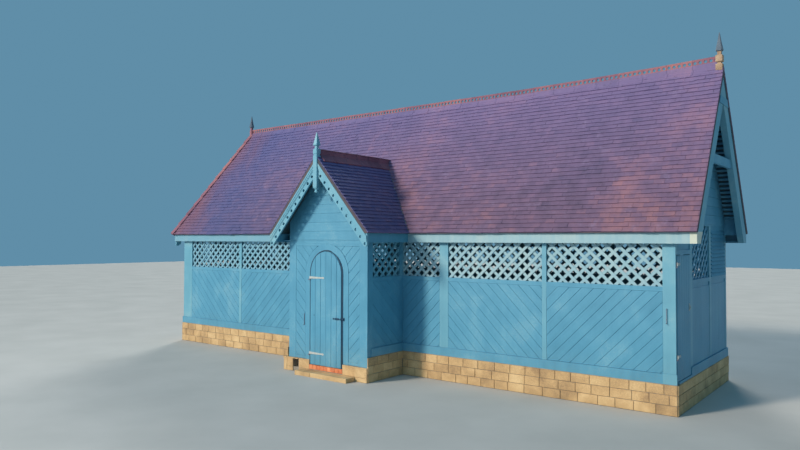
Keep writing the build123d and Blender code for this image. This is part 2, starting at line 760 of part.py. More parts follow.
with BuildPart() as porch_ridge:
    extrude(ridge_section(verge_plane, 0, porch_ridge_height, porch_slope, porch_ridge_wing, porch_top),
            amount=-porch_length)
    split(bisect_by=main_slope_plane, keep=Keep.TOP)
    cut_post_socket()
export(porch_ridge, "porch_ridge")

# Pierced bargeboards of the porch, each with a rounded foot round its last hole
hole_fall = (porch_barge_width - barge_hole_edge) * porch_stretch
foot_z = porch_under(barge_foot_x) - hole_fall
foot_x = barge_foot_x + barge_hole_edge
tangent_x = barge_foot_x - barge_hole_edge * porch_slope / porch_stretch
tangent_z = foot_z - barge_hole_edge / porch_stretch
flat_x = porch_eave_x - flat_edge(porch_drop, porch_slope)
with BuildPart() as porch_bargeboards:
    for side in (-1, 1):
        edge = [
            (half_finial, porch_under(half_finial)), (flat_x, fascia_top), (foot_x, fascia_top),
            (foot_x, foot_z), (barge_foot_x, foot_z), (tangent_x, tangent_z),
            (half_finial, porch_under(half_finial) - porch_barge_width * porch_stretch)]
        with BuildSketch(Plane.XZ.offset(-porch_barge_y)) as board:
            with BuildLine():
                Polyline(*[(side * x, z) for x, z in edge], close=True)
            make_face()
            with Locations((side * barge_foot_x, foot_z)):
                Circle(barge_hole_edge)
            for i in range(barge_hole_count):
                hole_x = barge_foot_x - i * barge_hole_pitch / porch_stretch
                with Locations((side * hole_x, porch_under(hole_x) - hole_fall)):
                    Circle(barge_hole_radius, mode=Mode.SUBTRACT)
        extrude(board.sketch, amount=-porch_barge_thickness)
export(porch_bargeboards, "porch_bargeboards")


def square_post(x, y, half, low, high):
    """Square length of post between two heights."""
    block(*around(x, y, half), (low, high))


def spike(x, y, base, half, height):
    """Four-sided spike that narrows to a blunt tip; a negative height points it down."""
    narrowing = math.degrees(math.atan2(half - spike_tip / 2, abs(height)))
    with BuildSketch(Plane.XY.offset(base)) as foot:
        with Locations((x, y)):
            Rectangle(2 * half, 2 * half)
    extrude(foot.sketch, amount=height, taper=narrowing)


# Finials: two stacked blocks at the right end, a plain neck on the hip, a post with a pendant on the porch
with BuildPart() as finials:
    waist = right_finial_foot + lower_block_height
    upper_block = waist + waist_height
    neck = upper_block + upper_block_height
    square_post(barge_x, ridge_y, half_finial, right_finial_foot, waist)
    square_post(barge_x, ridge_y, half_neck, waist, upper_block)
    square_post(barge_x, ridge_y, half_finial, upper_block, neck)
    square_post(barge_x, ridge_y, half_neck, neck, neck + neck_height)
    spike(barge_x, ridge_y, neck + neck_height, half_finial, spike_height)

    square_post(hip_x, ridge_y, half_neck, left_socket_foot, roof_top + neck_height)
    spike(hip_x, ridge_y, roof_top + neck_height, half_finial, spike_height)

    square_post(0, porch_barge_y, half_finial, porch_post_foot, porch_top)
    square_post(0, porch_barge_y, half_neck, porch_top, porch_top + porch_neck_height)
    spike(0, porch_barge_y, porch_top + porch_neck_height, half_finial, porch_spike_height)
    spike(0, porch_barge_y, porch_post_foot, half_finial, -pendant_height)
export(finials, "finials")

# Porch door: arched leaf on two strap hinges at its left edge, opening outwards
leaf_half = door_half - door_gap
leaf_face = porch_face - door_proud
hinge_y = leaf_face - hinge_radius
hinge_zs = (porch_door_bottom + lower_strap_rise, porch_door_bottom + upper_strap_rise)
half_strap = strap_width / 2
half_knuckle = knuckle_length / 2
half_latch = latch_width / 2
latch_zs = (latch_z - latch_height / 2, latch_z + latch_height / 2)
side_latch_zs = (side_latch_z - latch_height / 2, side_latch_z + latch_height / 2)
knob_reach = strap_thickness + knob_length

with BuildPart() as porch_door:
    with BuildSketch(Plane.XZ.offset(-leaf_face)) as leaf:
        rectangle_between((-leaf_half, leaf_half), (porch_door_bottom, arch_spring))
        with Locations((0, arch_spring)):
            Circle(leaf_half)
    extrude(leaf.sketch, amount=-door_thickness)
export(porch_door, "porch_door")


def strap_hinge(z, axis_x, axis_y, xs, ys):
    """Strap with its knuckle, bored for the pintle."""
    block(xs, ys, (z - half_strap, z + half_strap))
    with Locations((axis_x, axis_y, z)):
        Cylinder(hinge_radius, knuckle_length)
        Cylinder(hinge_pin_radius + hinge_play, knuckle_length, mode=Mode.SUBTRACT)


with BuildPart() as porch_door_ironwork:
    plate_ys = (leaf_face - strap_thickness, leaf_face)
    for z in hinge_zs:
        strap_hinge(z, -door_half, hinge_y, (-door_half, -door_half + strap_length), plate_ys)
    block((latch_x - half_latch, latch_x + half_latch), plate_ys, latch_zs)
    with Locations((latch_x, leaf_face - knob_reach / 2, latch_z)):
        Cylinder(knob_radius, knob_reach, rotation=(90, 0, 0))
    with Locations((eye_x, leaf_face - eye_length / 2, eye_z)):
        Cylinder(eye_radius, eye_length, rotation=(90, 0, 0))
export(porch_door_ironwork, "porch_door_ironwork")

# Side door: plain leaf in the right end, hinged at the corner post, opening outwards
side_leaf_ys = (side_door_start + door_gap, side_door_end - door_gap)
side_hinge_x = side_leaf_x + hinge_radius
side_hinge_zs = (side_door_sill + side_lower_hinge_rise, side_door_sill + side_upper_hinge_rise)

with BuildPart() as side_door:
    block((side_leaf_x - door_thickness, side_leaf_x), side_leaf_ys,
          (side_door_sill, side_door_head - door_gap))
export(side_door, "side_door")

with BuildPart() as side_door_ironwork:
    plate_xs = (side_leaf_x, side_leaf_x + strap_thickness)
    for z in side_hinge_zs:
        strap_hinge(z, side_hinge_x, side_door_start, plate_xs,
                    (side_door_start, side_door_start + side_strap_length))
    block(plate_xs, (side_latch_y - half_latch, side_latch_y + half_latch), side_latch_zs)
    with Locations((side_leaf_x + knob_reach / 2, side_latch_y, side_latch_z)):
        Cylinder(knob_radius, knob_reach, rotation=(0, 90, 0))
export(side_door_ironwork, "side_door_ironwork")


def pintle(z, axis_x, axis_y, xs, ys):
    """Upright pin through a knuckle, standing on a bracket below it."""
    seat = z - half_knuckle - pintle_gap
    pin_height = z + half_knuckle + pintle_rise - seat
    with Locations((axis_x, axis_y, seat + pin_height / 2)):
        Cylinder(hinge_pin_radius, pin_height)
    block(xs, ys, (seat - pintle_height, seat))


# Pintles that carry both doors, their brackets on the posts below each knuckle
with BuildPart() as pintles:
    for z in hinge_zs:
        pintle(z, -door_half, hinge_y, (-door_half - pintle_reach, -door_half + hinge_pin_radius),
               (hinge_y - hinge_pin_radius, porch_face))
    for z in side_hinge_zs:
        pintle(z, side_hinge_x, side_door_start, (right_face, side_hinge_x + hinge_pin_radius),
               (side_door_start - side_pintle_reach, side_door_start + hinge_pin_radius))
export(pintles, "pintles")


def hook(x, wall_y, top):
    """Hold-back hook of square bar that hangs from an eye on a wall, its end turned outwards."""
    xs = (x - half_bar, x + half_bar)
    rod_y = wall_y - hook_stand_off
    foot = top - hook_length
    block(xs, (rod_y - half_bar, wall_y), (top - half_bar, top + half_bar))
    block(xs, (rod_y - half_bar, rod_y + half_bar), (foot - half_bar, top + half_bar))
    block(xs, (rod_y - hook_tip, rod_y + half_bar), (foot - half_bar, foot + half_bar))


half_bar = hook_bar / 2
with BuildPart() as hold_back_hooks:
    hook(porch_hook_x, porch_face + boarding_recess, porch_hook_top)
    hook(right_face - side_hook_from_corner, 0.0, side_hook_top)
export(hold_back_hooks, "hold_back_hooks")
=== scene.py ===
"""Looks of the summer house: clay tiles, boards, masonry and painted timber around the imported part."""
import math
import random

import bmesh
import bpy
from mathutils import Matrix, Vector


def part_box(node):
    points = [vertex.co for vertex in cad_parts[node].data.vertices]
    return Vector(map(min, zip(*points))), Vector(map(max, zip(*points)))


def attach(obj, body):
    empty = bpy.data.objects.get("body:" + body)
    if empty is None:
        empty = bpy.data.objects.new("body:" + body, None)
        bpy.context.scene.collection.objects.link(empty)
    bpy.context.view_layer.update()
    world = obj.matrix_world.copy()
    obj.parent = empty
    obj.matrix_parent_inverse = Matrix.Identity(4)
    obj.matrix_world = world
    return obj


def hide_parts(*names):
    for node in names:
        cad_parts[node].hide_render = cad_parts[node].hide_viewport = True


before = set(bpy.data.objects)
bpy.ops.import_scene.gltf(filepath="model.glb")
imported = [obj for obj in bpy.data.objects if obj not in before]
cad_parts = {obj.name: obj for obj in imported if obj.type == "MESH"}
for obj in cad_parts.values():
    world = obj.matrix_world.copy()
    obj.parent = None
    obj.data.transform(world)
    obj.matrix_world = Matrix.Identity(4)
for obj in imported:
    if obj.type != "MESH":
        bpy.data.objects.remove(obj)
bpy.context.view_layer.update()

# Walls, posts and panels of the part, in metres
left_face, right_face = -6.150, 6.140
front_face, rear_face = 0.0, 3.290
porch_face, porch_half = -1.060, 1.030
board_depth = 0.015
skirting_top, rail_bottom = 0.610, 1.840
front_panels = [
    (-5.81, -3.92, "fall"), (-3.84, -1.95, "rise"), (-1.76, -1.03, "fall"),
    (1.03, 1.90, "rise"), (2.09, 3.98, "fall"), (4.06, 5.95, "rise"),
]
rear_panels = [(-5.81, -3.92), (-3.84, -1.95), (-1.87, 0.03), (0.11, 1.90), (2.09, 3.98), (4.06, 5.95)]
board_pitch, board_rise, board_gap = 0.145, 0.0125, 0.002

# Roof planes
eave_z, ridge_z, ridge_y = 2.75, 5.49, 1.645
eave_front, eave_rear = -0.150, 3.440
verge_x, hip_eave_x, hip_apex_x = 6.480, -6.480, -5.480
slope, stretch = 1.52646, 1.82487
hip_slope, hip_stretch = 2.74, 2.917
porch_eave_x, porch_ridge_z, porch_verge_y = 1.283, 4.206, -1.375
porch_slope, porch_stretch = 1.13484, 1.51258
porch_meet_y = 0.804

gauge, lap, tile_width, tile_joint = 0.090, 0.025, 0.165, 0.0025
eave_reach, tile_lift = 0.020, 0.017

# How far pieces reach into the solids, and the two ways that a board or block can run on its face
sunk = -0.004
sideways, upright = (1, 0), (0, 1)


class Surface:
    """Flat face with an origin, two directions in it and the normal that points out."""

    def __init__(self, origin, u, v):
        self.o = Vector(origin)
        self.u = Vector(u).normalized()
        self.v = Vector(v).normalized()
        self.n = self.u.cross(self.v)

    def at(self, u, v, h=0.0):
        return self.o + self.u * u + self.v * v + self.n * h


def front(y):
    return Surface((0, y, 0), (1, 0, 0), (0, 0, 1))


def rear(y):
    return Surface((0, y, 0), (-1, 0, 0), (0, 0, 1))


def right(x):
    return Surface((x, 0, 0), (0, 1, 0), (0, 0, 1))


def left(x):
    return Surface((x, 0, 0), (0, -1, 0), (0, 0, 1))


def clip(poly, a, b, c):
    """Part of a convex polygon where a*u + b*v <= c."""
    out = []
    for i, p in enumerate(poly):
        q = poly[(i + 1) % len(poly)]
        dp, dq = a * p[0] + b * p[1] - c, a * q[0] + b * q[1] - c
        if dp <= 0:
            out.append(p)
        if (dp < 0 < dq) or (dq < 0 < dp):
            t = dp / (dp - dq)
            out.append((p[0] + (q[0] - p[0]) * t, p[1] + (q[1] - p[1]) * t))
    clean = []
    for p in out:
        if not clean or math.dist(p, clean[-1]) > 1e-4:
            clean.append(p)
    if len(clean) > 1 and math.dist(clean[0], clean[-1]) < 1e-4:
        clean.pop()
    return clean if len(clean) > 2 else []


def area(poly):
    return 0.5 * sum(p[0] * q[1] - q[0] * p[1] for p, q in zip(poly, poly[1:] + poly[:1]))


def cut(poly, limits):
    for a, b, c in limits:
        poly = clip(poly, a, b, c)
        if not poly:
            return []
    return poly


def inset(poly, amount):
    """Convex polygon that runs anticlockwise, made smaller all round."""
    limits = []
    for p, q in zip(poly, poly[1:] + poly[:1]):
        size = math.dist(p, q)
        a, b = (q[1] - p[1]) / size, -(q[0] - p[0]) / size
        limits.append((a, b, a * p[0] + b * p[1] - amount))
    return cut(poly, limits)


def panel(u0, u1, v0, v1):
    return [(u0, v0), (u1, v0), (u1, v1), (u0, v1)]


def ordered(side, a, b):
    """Range right of the middle line, or its mirror image where side is -1."""
    return sorted((side * a, side * b))


def arc(u, v, radius, sides, steps=None):
    """Points of a circle with so many sides: all of them, or those at the given steps."""
    return [(u + radius * math.cos(math.tau * i / sides), v + radius * math.sin(math.tau * i / sides))
            for i in steps or range(sides)]


def linked(name, data):
    obj = bpy.data.objects.new(name, data)
    bpy.context.scene.collection.objects.link(obj)
    return obj


class Piece:
    """Mesh that is gathered face by face, with a tone and a place along the grain for each element."""

    def __init__(self, name, seed):
        self.name = name
        self.bm = bmesh.new()
        self.tone = self.bm.verts.layers.float.new("tone")
        self.grain = self.bm.verts.layers.float_vector.new("grain")
        self.random = random.Random(seed)

    def verts(self, points, tone=0.0, grains=None):
        made = []
        for p, g in zip(points, grains or points):
            v = self.bm.verts.new(p)
            v[self.tone] = tone
            v[self.grain] = g
            made.append(v)
        return made

    def ring(self, a, b):
        for i in range(len(a)):
            j = (i + 1) % len(a)
            self.bm.faces.new((a[i], a[j], b[j], b[i]))

    def skin(self, outlines, round_again=False):
        """Faces from outline to outline; the last joins the first, or both ends get a face of their own."""
        loops = [self.verts(points) for points in outlines]
        for a, b in zip(loops, loops[1:]):
            self.ring(a, b)
        if round_again:
            self.ring(loops[-1], loops[0])
        else:
            self.bm.faces.new(loops[0][::-1])
            self.bm.faces.new(loops[-1])

    def prism(self, face, poly, low, high, bevel=0.0, along=sideways, lift=None, tone=None):
        """Closed plate over a convex polygon: low and high are heights, lift(u, v) is added to the top."""
        if len(poly) < 3 or abs(area(poly)) < 2e-5:
            return
        if area(poly) < 0:
            poly = poly[::-1]
        top = inset(poly, bevel) if bevel else poly
        if not top:
            return
        if tone is None:
            tone = self.random.uniform(-1, 1)
        shift = self.random.uniform(0, 40)
        bevelled = bevel and len(top) == len(poly)

        def made(points, height, lifted=True):
            places = [face.at(u, v, height + (lift(u, v) if lift and lifted else 0)) for u, v in points]
            grains = [(u * along[0] + v * along[1] + shift, -u * along[1] + v * along[0] + shift, tone)
                      for u, v in points]
            return self.verts(places, tone, grains)

        base = made(poly, low, False)
        rim = crown = made(poly, high - bevel if bevelled else high)
        self.ring(base, rim)
        if bevelled:
            crown = made(top, high)
            self.ring(rim, crown)
        self.bm.faces.new(crown)
        self.bm.faces.new(base[::-1])

    def box(self, face, u, v, h, bevel=0.0, along=sideways, tone=None):
        self.prism(face, panel(*u, *v), *h, bevel, along, tone=tone)

    def finish(self, material, slot="timber", body="house", stands_for=()):
        bmesh.ops.recalc_face_normals(self.bm, faces=self.bm.faces)
        mesh = bpy.data.meshes.new(self.name)
        self.bm.to_mesh(mesh)
        self.bm.free()
        mesh.materials.append(material)
        obj = linked(self.name, mesh)
        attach(obj, body)
        if stands_for:
            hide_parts(*stands_for)


# Materials

def node_colour(colour):
    """Node colour from 0 to 255 values as seen on a screen; the output of a node stays as it is."""
    if hasattr(colour, "is_output"):
        return colour
    return (*((c / 255 / 12.92) if c <= 10 else ((c / 255 + 0.055) / 1.055) ** 2.4 for c in colour), 1.0)


class Nodes:
    """Node tree of a material; x, y and z are the place in metres."""

    def __init__(self, name):
        self.material = bpy.data.materials.new(name)
        self.material.use_nodes = True
        self.tree = self.material.node_tree
        self.tree.nodes.clear()
        self.shader = self.tree.nodes.new("ShaderNodeBsdfPrincipled")
        out = self.tree.nodes.new("ShaderNodeOutputMaterial")
        self.put(out.inputs["Surface"], self.shader.outputs["BSDF"])
        self.place = self.node("ShaderNodeTexCoord", {}, "Object")
        self.x, self.y, self.z = (self.node("ShaderNodeSeparateXYZ", {0: self.place}, k) for k in range(3))

    def put(self, socket, value):
        if hasattr(value, "is_output"):
            self.tree.links.new(value, socket)
        else:
            socket.default_value = value

    def node(self, kind, inputs, output=0, **settings):
        """Output of a new node; its inputs are given as numbers or as other nodes' outputs."""
        node = self.tree.nodes.new(kind)
        for key, value in settings.items():
            setattr(node, key, value)
        for key, value in inputs.items():
            self.put(node.inputs[key], value)
        return node.outputs[output]

    def noise(self, scale, detail=4.0, rough=0.55, distort=0.0, vector=None):
        """Noise over the place or another vector; scale is one number, or one for each axis."""
        if vector is None:
            vector = self.place
        if isinstance(scale, tuple):
            vector, scale = self.node("ShaderNodeMapping", {"Vector": vector, "Scale": scale}, "Vector"), 1.0
        return self.node("ShaderNodeTexNoise", {"Vector": vector, "Scale": scale, "Detail": detail,
                                                "Roughness": rough, "Distortion": distort}, "Fac")

    def attribute(self, name, output="Fac"):
        return self.node("ShaderNodeAttribute", {}, output, attribute_name=name)

    def math(self, operation, a, b=0.0):
        return self.node("ShaderNodeMath", {0: a, 1: b}, operation=operation)

    def total(self, *terms):
        """Sum of values, and of (value, share) pairs."""
        terms = [self.math("MULTIPLY", *term) if isinstance(term, tuple) else term for term in terms]
        result = terms[0]
        for term in terms[1:]:
            result = self.math("ADD", result, term)
        return result

    def window(self, value, low, high, to_low=0.0, to_high=1.0):
        return self.node("ShaderNodeMapRange", {"Value": value, "From Min": low, "From Max": high,
                                                "To Min": to_low, "To Max": to_high}, "Result")

    def ramp(self, value, *stops):
        node = self.tree.nodes.new("ShaderNodeValToRGB")
        self.put(node.inputs["Fac"], value)
        while len(node.color_ramp.elements) < len(stops):
            node.color_ramp.elements.new(0.5)
        for element, (place, colour) in zip(node.color_ramp.elements, stops):
            element.position = place
            element.color = node_colour(colour)
        return node.outputs["Color"]

    def mix(self, factor, a, b, share=None):
        """Colour a with b over it, as far as factor says, or factor times share."""
        factor = factor if share is None else self.math("MULTIPLY", factor, share)
        inputs = {0: factor, 6: node_colour(a), 7: node_colour(b)}
        return self.node("ShaderNodeMix", inputs, 2, data_type="RGBA")

    def finish(self, colour, rough, relief=None, depth=0.0, strength=1.0):
        self.put(self.shader.inputs["Base Color"], colour)
        self.put(self.shader.inputs["Roughness"], rough)
        if relief is not None:
            bump = {"Height": relief, "Distance": depth, "Strength": strength}
            self.put(self.shader.inputs["Normal"], self.node("ShaderNodeBump", bump, "Normal"))
        return self.material


def painted_timber(name, deep, main, pale, boards=False, wear=0.35, pale_below=None, fresh_and_shaded_left=False):
    """Old gloss paint over timber: brush marks, faint grain, faded and chalky areas, a warm grey tint low down.
    pale_below is the height under which a board's foot is painted pale: painted sunlight, as pale as the fascia that
    runs into it.
    With the flag for the left end set, more of the blue stays towards the left end and at the rear, away from the
    sun: partly less faded paint, partly painted shade."""
    n = Nodes(name)
    place = n.attribute("grain", "Vector") if boards else n.place
    grain = n.noise((2.0, 60.0, 60.0) if boards else (26.0, 26.0, 2.5), 6.0, 0.6, vector=place)
    brush = n.noise((1.0, 16.0, 16.0) if boards else (9.0, 9.0, 1.2), 3.0, vector=place)
    cloud = n.noise(1.3, 5.0, 0.6, 0.4)
    drips = n.noise((7.0, 7.0, 0.5), 4.0, 0.6)
    fine = n.noise(38.0, 5.0, 0.65)
    value = n.total((cloud, 0.55), (drips, 0.25), (brush, 0.20))
    if boards:
        value = n.total(value, (n.attribute("tone"), 0.035))
    colour = n.ramp(value, (0.18, deep), (0.50, main), (0.84, pale))
    chalk = n.window(n.total((cloud, 0.6), (fine, 0.4)), 0.54, 0.74)
    colour = n.mix(chalk, colour, (160, 190, 192), wear)
    # Warm grey tint, stronger towards the bottom
    low = n.window(n.total(n.z, (cloud, 0.5)), 1.05, 0.45)
    low_tint = n.math("MULTIPLY", low, n.window(fine, 0.35, 0.65))
    colour = n.mix(low_tint, colour, (128, 134, 112), 0.30)
    # Partly less faded paint, partly painted shade: bluer towards the left end and darker blue at the rear, where
    # less sun falls
    if fresh_and_shaded_left:
        leftward = n.window(n.total(n.x, (cloud, 2.0)), 2.6, -0.6, 0.0, 0.62)
        colour = n.mix(leftward, colour, (92, 154, 180))
        colour = n.mix(n.window(n.y, 1.2, 2.2), colour, (70, 130, 158))
    # Painted light: under pale_below the foot of the board is painted pale, as sunlight on it
    if pale_below:
        colour = n.mix(n.window(n.z, pale_below + 0.004, pale_below - 0.004), colour, (196, 204, 190))
    flake = n.window(n.noise(17.0, 8.0, 0.7, 0.3), 0.71, 0.75)
    colour = n.mix(flake, colour, (188, 180, 160), 0.55)
    rough = n.window(n.total((fine, 0.5), (chalk, 0.5)), 0.1, 0.9, 0.42, 0.74)
    return n.finish(colour, rough, n.total((grain, 0.6), (brush, 0.3), (flake, -0.5)), 0.004, 0.55)


def clay(name, dark, main, bright, bloom, spots=0.38, tone=0.35, scale=1.0, violet=None, shade_blue=None,
         least_shade=0.0, rust=None):
    """Weathered fired clay: a tone for each tile, mottling, pale bloom and dark growth.
    violet is mixed in more towards the ridge; the blue mixed in towards the hipped end, never under its least share,
    is painted shade; rust comes up along the hips."""
    n = Nodes(name)
    cloud = n.noise(0.30 * scale, 5.0, 0.55, 0.4)
    patch = n.noise((4.8 * scale, 4.8 * scale, 3.2 * scale), 5.0, 0.65, 0.3)
    grit = n.noise(70.0, 6.0, 0.7)
    value = n.total((cloud, 0.72), (patch, 0.28), (n.attribute("tone"), 0.045 * tone / 0.35),
                    (n.math("SUBTRACT", grit, 0.5), 0.18))
    colour = n.ramp(value, (0.26, dark), (0.48, main), (0.72, bright))
    if violet:
        high_up = n.window(n.total(n.z, patch), 3.6, 5.9, 0.06, 0.42)
        colour = n.mix(high_up, colour, violet)
        # Painted shade: bluer towards the hipped end, never under its least share
        leftward = n.window(n.total(n.x, (cloud, 5.0)), 2.5, -2.5, least_shade, 0.56)
        colour = n.mix(leftward, colour, shade_blue)
    if rust:
        from_hip = n.total(n.x, 7.484, (n.z, -0.365))
        streak = n.noise((1.6, 0.5, 0.5), 5.0, 0.6, 0.5)
        near = n.window(n.total(from_hip, (streak, 2.6)), 2.6, 1.1, 0.0, 0.50)
        colour = n.mix(near, colour, rust)
    haze = n.window(n.noise(6.0 * scale, 8.0, 0.72), 0.56, 0.72)
    colour = n.mix(haze, colour, bloom, 0.30)
    growth = n.window(n.noise(13.0 * scale, 7.0, 0.75, 0.5), 0.57, 0.68)
    colour = n.mix(growth, colour, (58, 48, 58), spots)
    return n.finish(colour, n.window(grit, 0.2, 0.8, 0.62, 0.92), n.total((grit, 0.5), (patch, 0.5)), 0.005, 0.6)


def masonry(name, dark, main, pale, scale=6.0, moss=0.25, tone=0.10):
    """Weathered stone: strata, pits, stains and a little green low down."""
    n = Nodes(name)
    cloud = n.noise(scale * 0.4, 6.0, 0.6, 0.3)
    pits = n.noise(scale * 9.0, 7.0, 0.7)
    value = n.total((cloud, 0.6), (pits, 0.4), (n.attribute("tone"), tone))
    colour = n.ramp(value, (0.34, dark), (0.50, main), (0.66, pale))
    damp = n.window(n.total(n.z, (cloud, 0.3)), 0.35, 0.08)
    green = n.math("MULTIPLY", damp, n.window(pits, 0.42, 0.62))
    colour = n.mix(green, colour, (92, 98, 66), moss)
    return n.finish(colour, n.window(pits, 0.3, 0.7, 0.70, 0.95), pits, 0.006, 0.7)


def iron(name, paint, worn_colour, metal=0.4):
    """Hand-worked iron under old paint, brown where it has worn through."""
    n = Nodes(name)
    grain = n.noise(60.0, 6.0, 0.6)
    worn = n.window(n.noise(24.0, 7.0, 0.7), 0.54, 0.66)
    colour = n.mix(n.window(grain, 0.25, 0.75, 0.15, 0.0), paint, (0, 0, 0))
    n.shader.inputs["Metallic"].default_value = metal
    return n.finish(n.mix(worn, colour, worn_colour), n.window(grain, 0.3, 0.7, 0.38, 0.68), grain, 0.002, 0.6)


def bare_boards(name):
    """Worn floorboards with gaps between them and grain along their length."""
    n = Nodes(name)
    lane = n.math("DIVIDE", n.y, 0.15)
    own = n.node("ShaderNodeTexWhiteNoise", {"W": n.math("FLOOR", lane)}, "Value", noise_dimensions="1D")
    seam = n.math("GREATER_THAN", n.math("ABSOLUTE", n.math("SUBTRACT", n.math("FRACT", lane), 0.5)), 0.475)
    grain = n.noise((2.0, 45.0, 45.0), 6.0, 0.62)
    colour = n.ramp(n.total((grain, 0.65), (own, 0.35)), (0.25, (74, 60, 48)), (0.50, (124, 104, 84)),
                    (0.75, (160, 142, 118)))
    colour = n.mix(seam, colour, (34, 28, 24))
    return n.finish(colour, n.window(grain, 0.2, 0.8, 0.55, 0.85), n.total((grain, 0.4), (seam, -1)), 0.004, 0.8)


def roofing(name):
    """Clay where a slab faces up and tarred battens and boards where it faces down."""
    n = Nodes(name)
    up = n.node("ShaderNodeSeparateXYZ", {0: n.node("ShaderNodeNewGeometry", {}, "Normal")}, 2)
    cloud = n.noise(3.0, 6.0, 0.6)
    grit = n.noise(60.0, 6.0, 0.7)
    top = n.ramp(cloud, (0.35, (80, 54, 62)), (0.65, (128, 84, 84)))
    below = n.ramp(n.noise((2.0, 40.0, 40.0), 5.0), (0.3, (40, 62, 72)), (0.7, (64, 96, 106)))
    colour = n.mix(n.window(up, -0.05, 0.05), below, top)
    return n.finish(colour, n.window(grit, 0.2, 0.8, 0.7, 0.95), n.total((cloud, 0.5), (grit, 0.5)), 0.004, 0.6)


# Colours as 0 to 255 values
teals = (54, 124, 154), (78, 148, 178), (104, 168, 192)
trim_blues = (78, 140, 164), (100, 162, 184), (138, 186, 196)
tile_reds = (70, 62, 86), (112, 88, 112), (168, 116, 112), (156, 142, 176)
lilac = (136, 126, 184)
timber = painted_timber("painted_timber", *teals)
boards = painted_timber("painted_boards", *teals, boards=True)
trim = painted_timber("painted_trim", *trim_blues, wear=0.5)
# Bluer towards the left end and the rear: partly less faded paint, partly painted shade
fascia_paint = painted_timber("faded_fascia_paint", (108, 156, 174), (140, 178, 190), (184, 198, 194),
                              wear=0.7, fresh_and_shaded_left=True)
# The foot of the right front bargeboard is painted pale under 2.735 m: painted sunlight
end_barge_paint_sunlit_foot = painted_timber("end_barge_paint_sunlit_foot", *trim_blues, wear=0.5, pale_below=2.735)
# Painted shade: both roofs are mixed towards a deep blue to the left, the porch roof by at least a third everywhere
tiles = clay("roof_clay", *tile_reds, violet=lilac, shade_blue=(52, 82, 142), rust=(150, 88, 78))
porch_clay = clay("porch_roof_clay", *tile_reds, violet=lilac, shade_blue=(36, 86, 160), least_shade=0.34)
ridge_clay = clay("ridge_clay", (92, 58, 76), (136, 90, 108), (170, 112, 112), (168, 142, 164),
                  spots=0.35, tone=0.45, scale=2.0)
terracotta = clay("terracotta_clay", (176, 98, 64), (214, 126, 82), (238, 166, 116), (226, 186, 154),
                  spots=0.15, tone=0.8, scale=5.0)
stone = masonry("plinth_stone", (150, 122, 90), (196, 162, 116), (222, 192, 144), tone=0.05)
mortar = masonry("plinth_mortar", (108, 100, 90), (146, 136, 122), (176, 166, 150), scale=12.0)
finial_stone = masonry("finial_clay", (120, 96, 82), (172, 144, 118), (208, 184, 156), scale=14.0, moss=0.0)
slate = masonry("spike_slate", (66, 78, 92), (92, 108, 124), (122, 138, 150), scale=12.0, moss=0.0)
ironwork = iron("black_iron", (52, 60, 66), (112, 92, 80))
painted_iron = iron("painted_iron", (190, 198, 196), (176, 158, 138), 0.15)
dull_iron = iron("dull_iron", (116, 122, 142), (96, 84, 92), 0.25)
teal_iron = iron("teal_iron", (38, 84, 116), (84, 106, 118), 0.2)
shadow_paint = painted_timber("shadow_paint", (16, 42, 66), (22, 54, 80), (36, 74, 100), wear=0.05)
floor_wood = bare_boards("floor_boards_wood")
slab = roofing("roof_slab")

by_slot = {
    "timber": timber, "floor_boards": floor_wood, "roof_tile": slab, "ridge_tile": ridge_clay,
    "stone": mortar, "terracotta": terracotta, "ironwork": ironwork, "finial_stone": finial_stone,
}
by_node = {
    "long_fascias": fascia_paint, "hip_fascia": trim, "porch_bargeboards": trim,
    "right_barge_front": end_barge_paint_sunlit_foot, "right_barge_rear": trim, "front_lattice": fascia_paint,
    "door_step": stone, "posts": trim, "hold_back_hooks": dull_iron, "pintles": dull_iron,
    "porch_side_lattices": trim,
}
for name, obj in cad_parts.items():
    for holder in obj.material_slots:
        holder.material = by_node.get(name) or by_slot.get(holder.material.name.split(".")[0], timber)


# Roof tiles

def tiled(name, face, u_range, length, limits, seed):
    """Plain tiles laid from the eave up, each lifted at its lower edge and a little out of line."""
    piece = Piece(name, seed)
    rnd = piece.random
    u_low, u_high = u_range
    for row in range(int(length / gauge) + 1):
        low = row * gauge - eave_reach
        high = min(low + gauge + lap, length)
        offset = (row % 2) * tile_width / 2
        sag = rnd.uniform(-0.0015, 0.0015)
        for column in range(-1, int((u_high - u_low) / tile_width) + 2):
            start = u_low + column * tile_width - offset + rnd.uniform(-0.0015, 0.0015)
            wave = 0.004 * math.sin(1.7 * start + 0.9 * row) + 0.003 * math.sin(4.1 * start - 1.3 * row)
            drop = wave + rnd.uniform(-0.003, 0.003) + (rnd.uniform(-0.012, -0.006) if rnd.random() < 0.02 else 0)
            end = start + tile_width - tile_joint
            shape = [(start, low + drop), (end, low + drop + rnd.uniform(-0.002, 0.002)), (end, high), (start, high)]
            shape = cut(shape, limits(start + tile_width / 2, (low + high) / 2))
            if not shape:
                continue
            tip = rnd.uniform(0.0, 0.004) + (0.006 if rnd.random() < 0.015 else 0) + sag
            twist = rnd.uniform(-0.012, 0.012)
            tone = rnd.gauss(0, 0.55)

            def lift(u, v, low=low, start=start, tip=tip, twist=twist):
                share = min(max((v - low) / (gauge + lap), 0), 1)
                return (tile_lift + tip) * (1 - share) + twist * (u - start)

            piece.prism(face, shape, sunk, 0.003, 0.0, upright, lift, tone)
    return piece


